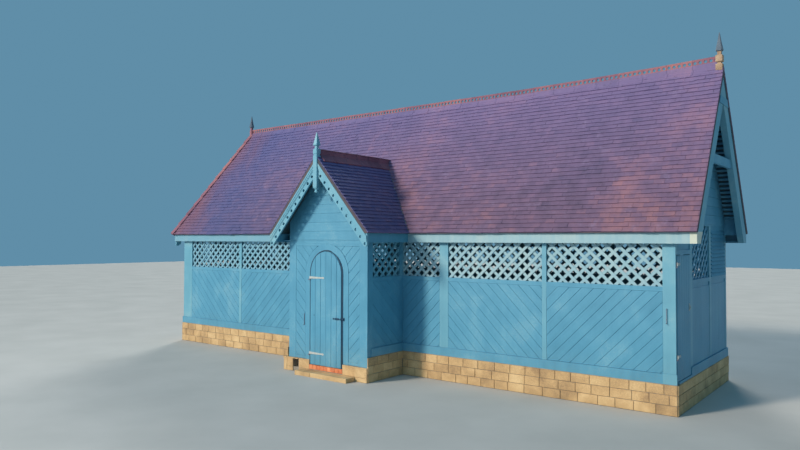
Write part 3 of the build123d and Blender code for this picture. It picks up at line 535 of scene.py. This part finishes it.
cosine, sine = 1 / stretch, slope / stretch
front_slope = Surface((0, eave_front, eave_z), (1, 0, 0), (0, cosine, sine))
rear_slope = Surface((0, eave_rear, eave_z), (-1, 0, 0), (0, -cosine, sine))
long_length = (ridge_y - eave_front) * stretch
hip_run_share = (hip_apex_x - hip_eave_x) / long_length
apex_v = (porch_meet_y - eave_front) * stretch
half_end = ridge_y - eave_front
hip_face = Surface((hip_eave_x, ridge_y, eave_z), (0, -1, 0), (1 / hip_stretch, 0, hip_slope / hip_stretch))
hip_share = half_end / hip_stretch
porch_length = porch_eave_x * porch_stretch
porch_share = (porch_meet_y - eave_front) / porch_length
porch_right, porch_left = (
    Surface((side * porch_eave_x, 0, eave_z), (0, side, 0), (-side / porch_stretch, 0, porch_slope / porch_stretch))
    for side in (1, -1))


def rear_limits(u, v, side=-1):
    return [(side, 0, verge_x + 0.004), (-side, hip_run_share, -hip_eave_x)]


def front_limits(u, v):
    found = rear_limits(u, v, 1)
    if v < apex_v:
        side = 1 if u > 0 else -1
        found.append((-side, -porch_eave_x / apex_v, -porch_eave_x + 0.030))
    return found


def porch_limits(side):
    """Along the eave the porch tiles stop where the main slope rises through them."""
    return lambda u, v: [(-side, 0, -porch_verge_y), (side, -porch_share, eave_front + 0.045)]


for seed, (name, face, u_range, length, limits, fired) in enumerate([
        ("front_tiles", front_slope, (hip_eave_x, verge_x), long_length, front_limits, tiles),
        ("rear_tiles", rear_slope, (-verge_x, -hip_eave_x), long_length, rear_limits, tiles),
        ("hip_slope_tiles", hip_face, (-half_end, half_end), hip_stretch,
         lambda u, v: [(1, hip_share, half_end), (-1, hip_share, half_end)], tiles),
        ("porch_tiles_right", porch_right, (porch_verge_y, porch_meet_y), porch_length, porch_limits(1), porch_clay),
        ("porch_tiles_left", porch_left, (-porch_meet_y, -porch_verge_y), porch_length, porch_limits(-1),
         porch_clay)], 11):
    tiled(name, face, u_range, length, limits, seed).finish(fired, "roof_tile")


# Ridge of the long roof with its pierced crest, and the ridge of the porch

def pierced_strip(piece, face, u0, v_low, v_hole, v_high, pitch, radius, thickness, tone, sides=14):
    """One pitch of a crest plate with a round hole through it."""
    outer, inner = [], []
    middle = u0 + pitch / 2
    for i in range(sides):
        turn = math.tau * (i + 0.5) / sides
        c, s = math.cos(turn), math.sin(turn)
        inner.append((middle + radius * c, v_hole + radius * s))
        reach = min(pitch / 2 / max(abs(c), 1e-6), (v_high - v_hole if s > 0 else v_hole - v_low) / abs(s))
        outer.append((middle + reach * c, v_hole + reach * s))
    # Square up the four points nearest the corners
    for corner in ((u0 + pitch, v_low), (u0 + pitch, v_high), (u0, v_high), (u0, v_low)):
        nearest = min(range(sides), key=lambda i: math.dist(outer[i], corner))
        outer[nearest] = corner
    back_outer, back_inner, front_outer, front_inner = [
        piece.verts([face.at(u, v, height) for u, v in loop], tone, [(u, v, tone) for u, v in loop])
        for height in (-thickness / 2, thickness / 2) for loop in (outer, inner)]
    piece.ring(front_outer, front_inner)
    piece.ring(front_inner, back_inner)
    piece.ring(back_inner, back_outer)
    piece.ring(back_outer, front_outer)


main_crest = Piece("main_ridge_crest", 21)
ridge_wings = Piece("main_ridge_wings", 24)
crest_low, crest_high = 5.475, 5.610
crest_face = front(ridge_y)
hole_height, hole_pitch, hole_radius = 5.552, 0.083, 0.0265
ridge_start, ridge_end = -5.450, 6.415
per_tile = 5
count = int((ridge_end - ridge_start) / (hole_pitch * per_tile))
tile_run = (ridge_end - ridge_start) / count
step = tile_run / per_tile


def settled(x):
    """How far the old ridge stands up towards its right end."""
    return 0.078 * (max(0.0, x - 1.8) / 4.6) ** 2


for k in range(count):
    u0 = ridge_start + k * tile_run
    own = main_crest.random.gauss(0, 0.7)
    rise = main_crest.random.uniform(-0.002, 0.003)
    for j in range(per_tile):
        u = u0 + j * step
        up = rise + settled(u)
        width = step if j < per_tile - 1 else step - 0.003
        split = hole_height - hole_radius - 0.010 + up
        pierced_strip(main_crest, crest_face, u, split, hole_height + up, crest_high + up, width, hole_radius,
                      0.022, own)
        ridge_wings.box(crest_face, (u, u + width), (crest_low, split - 0.0005), (-0.013, 0.013), tone=own)
    for face, sign in ((front_slope, 1), (rear_slope, -1)):
        for start, end, depth in ((u0, u0 + tile_run - 0.004, 0.019 + rise), (u0 - 0.012, u0 + 0.022, 0.025)):
            ridge_wings.box(face, ordered(sign, start, end), (long_length - 0.108, long_length - 0.003),
                            (0.002, depth), 0.004, tone=own)
ridge_wings.finish(tiles, "ridge_tile", stands_for=("main_ridge",))
main_crest.finish(ridge_clay, "ridge_tile", stands_for=("main_ridge",))

porch_ridge = Piece("porch_ridge_tiles", 22)
run_start, run_end = -1.270, 0.840
pieces_along = 6
span = (run_end - run_start) / pieces_along
for k in range(pieces_along):
    y0 = run_start + k * span
    y1 = y0 + span - 0.004
    own = porch_ridge.random.gauss(0, 0.7)
    rise = porch_ridge.random.uniform(0, 0.004)
    for face, sign in ((porch_right, 1), (porch_left, -1)):
        porch_ridge.box(face, ordered(sign, y0, y1), (porch_length - 0.165, porch_length + 0.010),
                        (0.004, 0.030 + rise), 0.004, tone=own)
        porch_ridge.box(face, ordered(sign, y0 - 0.010, y0 + 0.025), (porch_length - 0.172, porch_length + 0.012),
                        (0.004, 0.038), 0.004, tone=own)
    for low, high, half, bevel in ((4.215, 4.318, 0.020, 0.006), (4.305, 4.332, 0.028, 0.008)):
        porch_ridge.box(right(0), (y0, y1), (low, high + rise), (-half, half), bevel, tone=own)
porch_ridge.finish(ridge_clay, "ridge_tile", stands_for=("porch_ridge",))


# Stepped caps down both hips

hip_caps = Piece("hip_cap_tiles", 23)
for eave_y, long_normal, seed in ((eave_front, front_slope.n, 31), (eave_rear, rear_slope.n, 32)):
    foot = Vector((hip_eave_x, eave_y, eave_z))
    along = Vector((hip_apex_x, ridge_y, ridge_z)) - foot
    run = along.length
    number = int(run / 0.30)
    length = run / number
    along.normalize()
    for normal, other in ((long_normal, hip_face.n), (hip_face.n, long_normal)):
        across = along.cross(normal).normalized()
        # The wing runs away from the other slope's side of the hip
        if across.dot(other) > 0:
            across = -across
        plane = Surface(foot, along, across)
        plane.n = normal.copy()
        # Both wings of a cap are one tile, so both draw the same tones
        tones = random.Random(seed)
        for k in range(number):
            own = tones.gauss(0, 0.8)
            a = k * length - 0.004
            b = min((k + 1) * length + 0.045, run - 0.02)

            def lift(u, v, a=a, length=length):
                return 0.024 * (1 - min((u - a) / (length + 0.05), 1))

            hip_caps.prism(plane, [(a, -0.012), (b, -0.012), (b, 0.100), (a, 0.112)], -0.002, 0.022,
                           lift=lift, tone=own)
hip_caps.finish(ridge_clay, "ridge_tile", stands_for=("hip_tiles",))


# Boards

def board_run(piece, face, poly, direction, width, height, origin, gap, bevel=0.004, low=sunk, lift=None,
              limits=None):
    """Boards side by side over a convex polygon; direction is along them, origin is on a joint.
    limits(middle) gives more half-planes for the board whose middle line is that far along the normal."""
    size = math.hypot(*direction)
    du, dv = direction[0] / size, direction[1] / size
    nu, nv = -dv, du
    if area(poly) < 0:
        poly = poly[::-1]
    values = [(u - origin[0]) * nu + (v - origin[1]) * nv for u, v in poly]
    base = origin[0] * nu + origin[1] * nv
    for k in range(math.floor(min(values) / width), math.ceil(max(values) / width)):
        shape = cut(poly, [(nu, nv, base + (k + 1) * width - gap / 2), (-nu, -nv, -(base + k * width + gap / 2))])
        if limits:
            shape = cut(shape, limits(base + (k + 0.5) * width))
        if shape and area(shape) > 4e-4:
            piece.prism(face, shape, low, height, bevel, (du, dv), lift)


def chevron_panel(piece, face, u0, u1, way):
    """Slanting boards between the skirting and the rail, that fall or rise along the face."""
    board_run(piece, face, panel(u0, u1, skirting_top, rail_bottom), (1, -1 if way == "fall" else 1), board_pitch,
              board_rise, (u0, skirting_top), board_gap)


chevrons = Piece("wall_chevron_boards", 41)
for u0, u1, way in front_panels:
    chevron_panel(chevrons, front(front_face + board_depth), u0, u1, way)
for k, (x0, x1) in enumerate(rear_panels):
    chevron_panel(chevrons, rear(rear_face - board_depth), -x1, -x0, "rise" if k % 2 else "fall")
for y0, y1, way in ((0.1, 1.605, "rise"), (1.685, 3.19, "fall")):
    chevron_panel(chevrons, left(left_face + board_depth), -y1, -y0, way)
chevrons.finish(boards)

right_boards = Piece("end_wall_boards", 42)
right_plane = right(right_face - board_depth)
louvre_side, louvre_foot = (2.158, 3.19), 1.975
for (u0, u1), width in (((0.92, 2.03), 0.555), (louvre_side, 0.516)):
    board_run(right_boards, right_plane, panel(u0, u1, skirting_top, rail_bottom), upright, width, 0.010,
              (u0, skirting_top), 0.0, bevel=0.0015)
slat, slat_pitch = 0.060, 0.068
for k in range(12):
    # Louvre slats, each leaning out at its foot
    v0 = louvre_foot + k * slat_pitch
    right_boards.prism(right_plane, panel(*louvre_side, v0, v0 + slat), -0.010, 0.002,
                       lift=lambda u, v, v0=v0: 0.030 * (1 - (v - v0) / slat))
right_boards.finish(boards)

porch_boards = Piece("porch_chevron_boards", 43)
porch_front = front(porch_face + board_depth)
arch_spring, trim_radius = 1.958, 0.567
crown_edge, frame_edge = 0.160, 0.840
foot_low, shoulder_low, shoulder_high = 0.272, 0.330, 2.485
head_low, head_high, head_rise = 2.527, 2.598, 0.0135


def outside_arch(side):
    """Limits that end a diagonal board where its middle line leaves the trim round the door."""
    along = Vector((1, side)).normalized()
    across = Vector((-along.y, along.x))
    centre = Vector((0, arch_spring))

    def limits(middle):
        start = across * middle - centre
        reach = start.dot(along)
        spare = reach * reach - start.length_squared + trim_radius * trim_radius
        if spare < 0:
            # The middle line misses the trim: over it the board runs on, under it the board stops at the jamb
            return [(-side, 0, -(crown_edge if start.dot(across) > 0 else trim_radius))]
        point = start + along * (side * math.sqrt(spare) - reach)
        if point.y < 0:
            return [(-side, 0, -trim_radius)]
        outward = point.normalized()
        return [(-outward.x, -outward.y, -(outward.dot(centre) + trim_radius))]

    return limits


for side in (-1, 1):
    board_run(porch_boards, porch_front, panel(*ordered(side, 0.100, frame_edge), shoulder_low, shoulder_high),
              (1, side), board_pitch, board_rise, (side * 0.565, shoulder_low), board_gap,
              limits=outside_arch(side))
    porch_boards.box(porch_front, ordered(side, trim_radius, frame_edge), (foot_low, shoulder_low - board_gap),
                     (sunk, 0.014), 0.002)
porch_boards.box(porch_front, (-frame_edge, frame_edge), (head_low, head_high), (sunk, head_rise), 0.002)
for side in (-1, 1):
    porch_boards.box(porch_front, ordered(side, crown_edge, frame_edge), (shoulder_high + board_gap, head_low),
                     (sunk, head_rise))
    # Sliver between the crown of the trim and the rail over it
    porch_boards.prism(porch_front, [(side * 0.010, 2.522), (side * 0.162, 2.500), (side * 0.162, 2.528),
                                     (side * 0.010, 2.528)], sunk, head_rise)
chevron_panel(porch_boards, right(porch_half - board_depth), -0.905, -0.080, "fall")
chevron_panel(porch_boards, left(-porch_half + board_depth), 0.080, 0.905, "rise")
porch_boards.finish(boards)

corner_foot = Piece("corner_post_foot", 46)
corner_foot.box(front(front_face - 0.020), (5.952, 6.158), (0.464, 0.618), (sunk, 0.004), 0.002, upright, 0.0)
corner_foot.finish(trim)

# Horizontal boards on both gables
gables = Piece("gable_boards", 44)
porch_foot, porch_apex = 2.600, 4.060
board_run(gables, front(porch_face), [(-0.99, porch_foot), (0.99, porch_foot), (0.0, porch_apex)], sideways, 0.172,
          0.010, (0, porch_foot), 0.001, low=-0.003, bevel=0.003)
end_foot, end_apex = 2.880, 5.300
half = (end_apex - end_foot) / slope
board_run(gables, right(right_face), [(ridge_y - half, end_foot), (ridge_y + half, end_foot), (ridge_y, end_apex)],
          sideways, 0.160, 0.012, (0, end_foot), 0.003, low=-0.003)
gables.finish(boards)

# Battens under the overhang of the right verge
battens = Piece("verge_battens", 45)
slab_depth = 0.070
for face, sign in ((front_slope, 1), (rear_slope, -1)):
    for k in range(int((long_length - 0.2) / gauge)):
        v = 0.10 + k * gauge
        battens.box(face, ordered(sign, 6.142, 6.368), (v, v + 0.038), (-slab_depth - 0.024, -slab_depth + 0.004),
                    0.003)
battens.finish(boards)

# Ends of the wall plates, which run out under the verge to carry its boards
plate_ends = Piece("wall_plate_ends", 47)
barge_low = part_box("right_barge_rear")[0]
for y in (0.065, 3.225):
    plate_ends.box(front(y), (6.139, barge_low.x + 0.004), (2.705, 2.880), (-0.060, 0.0), 0.004, tone=0.0)
plate_ends.finish(trim)


# Doors

leaf_board, hinge_thin = 0.018, 0.013
leaf_face, leaf_foot = front(-1.066), 0.186
radius, set_in = 0.421, 0.024
board_width = 2 * radius / 6
arch = [(-radius, leaf_foot), (radius - set_in, leaf_foot), *arc(-set_in, arch_spring, radius, 48, range(13)),
        *arc(0, arch_spring, radius, 48, range(13, 25))]
leaf = Piece("porch_door_boards", 51)
board_run(leaf, leaf_face, arch, upright, board_width, leaf_board, (-radius, leaf_foot), 0.003, low=-0.003,
          lift=lambda u, v: -hinge_thin * max(0.0, 1 - (u + radius) / board_width))
leaf.finish(boards, "timber", "porch_door_leaf")


def band(piece, face, inner, outer, low, high, start, end, shift=0.0, sides=24):
    """Ring of short plates between two radii about the head of the porch door."""
    for i in range(sides):
        turns = [start + (end - start) * (i + j) / sides for j in (0, 1)]
        shape = [(inner * math.cos(t) - shift * math.cos(t), arch_spring + inner * math.sin(t)) for t in turns]
        shape += [(outer * math.cos(t), arch_spring + outer * math.sin(t)) for t in reversed(turns)]
        piece.prism(face, shape, low, high, tone=0.0)


# Painted shade: dark strip on the leaf's ledge along the latch side and round the arch, where the gap's shadow falls
latch_shadow_strip = Piece("porch_door_latch_shadow_strip", 58)
strip_edge, strip_low, strip_high = 0.4245, -0.002, 0.002
band(latch_shadow_strip, leaf_face, radius + 0.001, strip_edge, strip_low, strip_high, 0.0, math.pi / 2, set_in)
latch_shadow_strip.box(leaf_face, (radius - set_in + 0.001, strip_edge), (0.184, arch_spring), (strip_low, strip_high),
                along=upright, tone=0.0)
latch_shadow_strip.finish(shadow_paint, "timber", "porch_door_leaf")

# Painted shade: dark strip on the wall round the hinge side of the opening, where the gap's shadow falls
hinge_shadow_strip = Piece("porch_door_hinge_shadow_strip", 59)
strip_inner, strip_outer, strip_high = 0.4365, 0.4500, 0.0015
band(hinge_shadow_strip, front(porch_face), strip_inner, strip_outer, strip_low, strip_high, math.pi * 0.40, math.pi)
for v0, v1 in ((0.275, 0.352), (0.436, 1.816), (1.900, arch_spring)):
    hinge_shadow_strip.box(front(porch_face), (-strip_outer, -strip_inner), (v0, v1), (strip_low, strip_high),
                    along=upright, tone=0.0)
hinge_shadow_strip.finish(shadow_paint)

side_leaf = Piece("side_door_boards", 52)
side_face = right(6.146)
board_run(side_leaf, side_face, panel(0.050, 0.775, 0.506, 2.374), upright, 0.725 / 6, 0.0045, (0.050, 0.506),
          0.003, low=-0.003)
side_leaf.finish(boards, "timber", "side_door_leaf")


def ledged_back(name, body, face, outline, width, half, ledges):
    """Back of a door leaf: its boards, the ledges across them and the braces that rise from the hinge side."""
    piece = Piece(name, 56)
    board_run(piece, face, outline, upright, width, 0.004, outline[0], 0.004, low=-0.003, bevel=0.0015)
    middle = (outline[0][0] + outline[1][0]) / 2
    for v in ledges:
        piece.box(face, (middle - half, middle + half), (v, v + 0.100), (0.002, 0.020), 0.004)
    for low, high in zip(ledges, ledges[1:]):
        foot, head = middle + half - 0.02, middle - half + 0.02
        piece.prism(face, [(foot, low + 0.101), (foot - 0.10, low + 0.101), (head, high - 0.001),
                           (head + 0.10, high - 0.001)], 0.002, 0.019, 0.003, (-0.75, 0.66))
    piece.finish(boards, "timber", body)


back_radius, back_foot = 0.400, 0.190
ledged_back("porch_door_back", "porch_door_leaf", rear(-1.026),
            [(-back_radius, back_foot), (back_radius, back_foot), *arc(0, arch_spring, back_radius, 48, range(25))],
            2 * back_radius / 6, 0.355, (0.370, 1.080, 1.800))
ledged_back("side_door_back", "side_door_leaf", left(6.106), panel(-0.745, -0.135, 0.515, 2.365), 0.61 / 5, 0.285,
            (0.700, 1.380, 2.060))


def stud(piece, face, u, v, low, radius, height):
    piece.prism(face, arc(u, v, radius, 8), low, low + height, 0.003, tone=0.0)


def tube(piece, x, y, z, half=0.025, outer=0.011, inner=0.0056):
    """Upright knuckle with the bore that its pin turns in."""
    piece.skin([[(a, b, height) for a, b in arc(x, y, radius, 16)] for radius, height in (
        (outer, z - half), (outer, z + half), (inner, z + half), (inner, z - half))], True)


def ring_handle(piece, face, u, v, low, radius=0.026, wire=0.005, sides=18, around=8):
    """Drop ring that hangs from a boss on its plate."""
    loops = []
    for i in range(sides):
        turn = math.tau * i / sides
        loops.append([face.at(u + reach * math.sin(turn), v - radius + reach * math.cos(turn), height)
                      for reach, height in arc(radius, low + wire, wire, around)])
    piece.skin(loops, True)
    stud(piece, face, u, v, low - 0.004, 0.010, 0.018)


def strap(piece, face, u0, u1, v, low, high, half=0.0225):
    """Tapered strap with a leaf-shaped end and four studs."""
    neck = u1 - 0.055 * (1 if u1 > u0 else -1)
    tip = u1 - neck
    thin, wide = half * 0.62, neck + tip * 0.45
    for shape in ([(u0, v - half), (neck, v - thin), (neck, v + thin), (u0, v + half)],
                  [(neck, v - thin), (wide, v - half), (u1, v), (wide, v + half), (neck, v + thin)]):
        piece.prism(face, shape, low, high, 0.0015, tone=0.0)
    for share in (0.10, 0.36, 0.62, 0.95):
        stud(piece, face, u0 + (neck + tip * 0.4 - u0) * share, v, high - 0.001, 0.007, 0.0045)


porch_straps = Piece("porch_door_straps", 53)
for z in (0.405, 1.869):
    strap(porch_straps, leaf_face, -0.428, -0.035, z, 0.0, leaf_board + 0.006)
    tube(porch_straps, -0.435, -1.077, z)
porch_straps.finish(painted_iron, "ironwork", "porch_door_leaf", ("porch_door_ironwork",))

latch = Piece("porch_door_latch", 57)
latch.box(leaf_face, (0.262, 0.338), (1.088, 1.130), (0.0, leaf_board + 0.003), 0.002, upright, 0.0)
latch.box(leaf_face, (0.190, 0.428), (1.101, 1.117), (leaf_board, leaf_board + 0.013), 0.003, tone=0.0)
for u in (0.212, 0.262, 0.338, 0.385):
    latch.box(leaf_face, (u - 0.006, u + 0.006), (1.094, 1.124), (leaf_board - 0.004, leaf_board + 0.018),
              0.002, upright, 0.0)
stud(latch, leaf_face, 0.300, 1.109, leaf_board + 0.011, 0.011, 0.016)
latch.prism(leaf_face, arc(-0.307, 1.143, 0.008, 12), 0.0, leaf_board + 0.009, 0.002, tone=0.0)
latch.finish(teal_iron, "ironwork", "porch_door_leaf", ("porch_door_ironwork",))

keeper = Piece("porch_latch_keeper", 60)
keeper.box(front(porch_face), (0.438, 0.468), (1.078, 1.140), (-0.003, 0.010), 0.002, upright, 0.0)
keeper.box(front(porch_face), (0.438, 0.462), (1.094, 1.124), (0.008, 0.030), 0.004, upright, 0.0)
keeper.finish(teal_iron, "ironwork")

side_straps = Piece("side_door_straps", 54)
for z in (0.87, 2.25):
    strap(side_straps, side_face, 0.042, 0.195, z, 0.0, 0.012)
    tube(side_straps, 6.157, 0.035, z)
plate_middle = 0.690
side_straps.box(side_face, (0.668, 0.712), (1.506, 1.622), (0.0, 0.010), 0.002, upright, 0.0)
ring_handle(side_straps, side_face, plate_middle, 1.580, 0.014)
for v in (1.516, 1.612):
    stud(side_straps, side_face, plate_middle, v, 0.009, 0.006, 0.004)
side_straps.finish(painted_iron, "ironwork", "side_door_leaf", ("side_door_ironwork",))

# Stepped moulding along the upper part of the porch's pierced boards
moulding = Piece("porch_barge_moulding", 55)
for side in (-1, 1):
    for d0, d1, height in ((0.060, 0.094, 0.020), (0.094, 0.124, 0.013), (0.124, 0.138, 0.007)):
        shape = [(side * x, porch_ridge_z - porch_slope * x - d * porch_stretch)
                 for x, d in ((0.057, d1), (1.268, d1), (1.268, d0), (0.057, d0))]
        moulding.prism(front(-1.360), shape, -0.002, height, 0.002, (0.66, -0.75 * side), tone=0.0)
moulding.finish(trim)

# Lime fillet in the two valleys, broken into lumps
fillet = Piece("valley_fillet", 56)
top = Vector((0.0, porch_meet_y, porch_ridge_z))
number = 34
for side in (-1, 1):
    down = Vector((side * porch_eave_x, eave_front, eave_z)) - top
    for k in range(3, number):
        if fillet.random.random() < 0.35:
            continue
        middle = top + down * ((k + fillet.random.uniform(-0.2, 0.2)) / number)
        plane = Surface(middle, down, front_slope.n.cross(down.normalized()) * -1)
        plane.n = front_slope.n.copy()
        a, b = fillet.random.uniform(0.016, 0.034), fillet.random.uniform(0.008, 0.016)
        fillet.prism(plane, [(-a, -b), (a * 0.7, -b), (a, b * 0.6), (a * 0.3, b), (-a * 0.8, b * 0.8)], 0.004,
                     0.026, 0.004)
fillet.finish(mortar, "stone")


# Masonry round the plinth

plinth_out, plinth_top, porch_top = 0.020, 0.455, 0.264
out_left, out_right, out_rear = left_face - plinth_out, right_face + plinth_out, rear_face + plinth_out
porch_edge, porch_out = porch_half + plinth_out, porch_face - plinth_out
block_length, courses, joint = 0.300, 3, 0.004


def brickwork(piece, face, u0, u1):
    """Blocks in courses with open joints, from the ground up."""
    course = plinth_top / courses
    for r in range(courses):
        u = u0 - (r % 2) * block_length / 2
        while u < u1:
            size = block_length * piece.random.uniform(0.85, 1.15)
            a, b = max(u + joint, u0 + 0.003), min(u + size - joint, u1 - 0.003)
            if b - a > 0.03:
                piece.box(face, (a, b), (r * course + joint, (r + 1) * course - joint),
                          (sunk, 0.012 + piece.random.uniform(-0.002, 0.002)), 0.004)
            u += size


blocks = Piece("plinth_blocks", 61)
for face, u0, u1 in ((front(-plinth_out), out_left, -porch_edge), (front(-plinth_out), porch_edge, out_right),
                     (rear(out_rear), -out_right, -out_left), (left(out_left), -out_rear, plinth_out),
                     (right(out_right), -plinth_out, out_rear)):
    brickwork(blocks, face, u0, u1)
porch_base = front(porch_out)
cap = (porch_top - 0.020, porch_top)
under_cap = porch_top - 0.022
# Near the hinges the blocks are almost flush, to leave the leaf its swing
for u0, u1, proud in ((-porch_edge, -0.883, 0.016), (-0.732, -0.440, 0.004), (0.440, 0.740, 0.010),
                      (0.740, porch_edge, 0.016)):
    for z0, z1, more in ((0.084, under_cap, 0), (0.002, 0.080, 0.001)):
        blocks.box(porch_base, (u0 + 0.003, u1 - 0.003), (z0, z1), (sunk, proud + more), 0.003)
for u0, u1, proud in ((-porch_edge, -0.740, 0.022), (-0.740, -0.440, 0.005), (0.440, porch_edge, 0.018)):
    blocks.box(porch_base, (u0 + 0.003, u1 - 0.003), cap, (sunk, proud), 0.003)
quoin_left, quoin_right = -1.148, -1.052
blocks.box(porch_base, (quoin_left, quoin_right), (0.002, under_cap), (-0.170, 0.018), 0.006)
blocks.box(porch_base, (quoin_left - 0.012, quoin_right), cap, (-0.180, 0.024), 0.004)
brickwork(blocks, right(porch_edge), porch_out, -plinth_out - joint)
brickwork(blocks, left(-porch_edge), plinth_out + joint, -porch_out)
blocks.finish(stone, "stone")

edge_tiles = Piece("threshold_tiles", 62)
low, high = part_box("threshold")
number = 9
pitch = (high.x - low.x) / number
for k in range(number):
    u0 = low.x + k * pitch
    edge_tiles.box(front(low.y), (u0 + 0.002, u0 + pitch - 0.002), (low.z + 0.003, high.z - 0.004), (sunk, 0.008),
                   0.003, upright)
edge_tiles.finish(terracotta, "terracotta")

# Two worn stones laid in front of the door
step_stones = Piece("door_step_stones", 63)
low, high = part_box("door_step")
step_top = Surface((0, 0, high.z), (1, 0, 0), (0, 1, 0))
for u0, u1 in ((-0.584, -0.173), (-0.169, high.x)):
    shape = [(u0 + 0.006, low.y), (u1 - 0.006, low.y), (u1, low.y + 0.006), (u1, high.y + 0.002),
             (u0, high.y + 0.002), (u0, low.y + 0.006)]
    step_stones.prism(step_top, shape, -high.z, 0.0, 0.007)
step_stones.finish(stone, "stone", stands_for=("door_step",))


# Finials: clay blocks and slate-grey spikes on the long ridge, a painted post with a pendant on the porch

def turned(piece, x, y, profile, cut_share=0.24):
    """Closed square form with cut corners; profile is a list of (half width, height)."""
    outlines = []
    for half, z in profile:
        c = half * (1 - cut_share)
        corners = [(half, -c), (half, c), (c, half), (-c, half), (-half, c), (-half, -c), (-c, -half), (c, -half)]
        outlines.append([(x + a, y + b, z) for a, b in corners])
    piece.skin(outlines)


barge_x, hip_x, porch_barge_y = 6.420, -5.480, -1.3425
finial_half, neck_half = 0.055, 0.030
blocks_right = Piece("finial_clay_blocks", 71)
turned(blocks_right, barge_x, ridge_y, [
    (0.052, 5.436), (finial_half, 5.441), (finial_half, 5.540), (0.050, 5.549), (neck_half, 5.551),
    (neck_half, 5.581), (0.050, 5.583), (finial_half, 5.590), (finial_half, 5.688), (0.050, 5.696),
    (neck_half, 5.699), (neck_half, 5.767)], 0.12)
blocks_right.finish(finial_stone, "finial_stone", stands_for=("finials",))

spikes = Piece("finial_spikes", 72)
for x, foot in ((barge_x, 5.767), (hip_x, 5.681)):
    turned(spikes, x, ridge_y, [
        (0.040, foot - 0.006), (0.053, foot + 0.004), (finial_half, foot + 0.022), (0.050, foot + 0.045),
        (0.027, foot + 0.170), (0.012, foot + 0.270), (0.004, foot + 0.316)], 0.40)
spikes.finish(slate, "finial_stone", stands_for=("finials",))

left_neck = Piece("finial_left_neck", 73)
turned(left_neck, hip_x, ridge_y, [
    (0.042, 5.420), (0.042, 5.600), (0.036, 5.612), (neck_half, 5.618), (neck_half, 5.678)])
left_neck.finish(ridge_clay, "ridge_tile", stands_for=("finials",))

porch_finial = Piece("porch_finial_post", 74)
turned(porch_finial, 0.0, porch_barge_y, [
    (0.012, 3.490), (0.030, 3.506), (0.034, 3.524), (0.022, 3.545), (0.024, 3.556), (0.050, 3.585),
    (finial_half, 3.612), (finial_half, 4.196), (0.046, 4.206), (0.046, 4.222), (finial_half, 4.236),
    (finial_half, 4.312), (0.044, 4.332), (neck_half, 4.338), (neck_half, 4.384), (0.048, 4.390),
    (finial_half, 4.404), (0.050, 4.424), (0.026, 4.540), (0.012, 4.612), (0.004, 4.648)], 0.16)
porch_finial.finish(trim, stands_for=("finials",))


# Camera at the photograph's viewing angle
yaw, pitch_up, roll = math.radians(37.727), math.radians(1.414), math.radians(0.111)
image_width, focal_length, sensor = 800, 670.08, 36.0
camera_data = bpy.data.cameras.new("camera")
camera_data.sensor_width = sensor
camera_data.lens = focal_length / image_width * sensor
camera_data.shift_y = -0.00233
camera_data.clip_end = 200.0
camera = linked("camera", camera_data)
turned_by = Matrix.Rotation(yaw, 4, "Z") @ Matrix.Rotation(math.pi / 2 + pitch_up, 4, "X")
camera.matrix_world = Matrix.Translation((9.003, -10.397, 2.610)) @ turned_by @ Matrix.Rotation(roll, 4, "Z")
bpy.context.scene.camera = camera

# Pale floor and soft light
floor_mesh = bpy.data.meshes.new("floor")
bm = bmesh.new()
reach = 60.0
bm.faces.new([bm.verts.new((x, y, -0.002)) for x, y in panel(-reach, reach, -reach, reach)])
bm.to_mesh(floor_mesh)
bm.free()
floor = linked("floor", floor_mesh)
n = Nodes("pale_floor")
colour = n.ramp(n.noise(0.6), (0.3, (180, 180, 176)), (0.7, (192, 191, 187)))
floor_mesh.materials.append(n.finish(colour, 0.9))

world = bpy.data.worlds.new("studio")
bpy.context.scene.world = world
world.use_nodes = True
backdrop = world.node_tree.nodes["Background"]
backdrop.inputs["Color"].default_value = (0.30, 0.69, 1.0, 1.0)
backdrop.inputs["Strength"].default_value = 0.39


def light(name, kind, energy, colour, aim, place=(0, 0, 0), **settings):
    """Lamp at a place that shines along aim."""
    data = bpy.data.lights.new(name, kind)
    data.energy, data.color = energy, colour
    for key, value in settings.items():
        setattr(data, key, value)
    lamp = linked(name, data)
    lamp.location = place
    lamp.rotation_euler = Vector(aim).to_track_quat("-Z", "Y").to_euler()


light("warm_key", "SUN", 3.05, (1.0, 0.88, 0.74), (0.42, 0.80, -0.43), angle=math.radians(9))
light("soft_back", "SUN", 1.5, (1.0, 0.96, 0.90), (0.42, -0.75, -0.52), angle=math.radians(20))
light("soft_fill", "AREA", 700.0, (0.85, 0.93, 1.0), (4.0, 16.0, -8.0), (-4.0, -16.0, 10.0), size=14.0)

bpy.context.scene.view_settings.view_transform = "Standard"
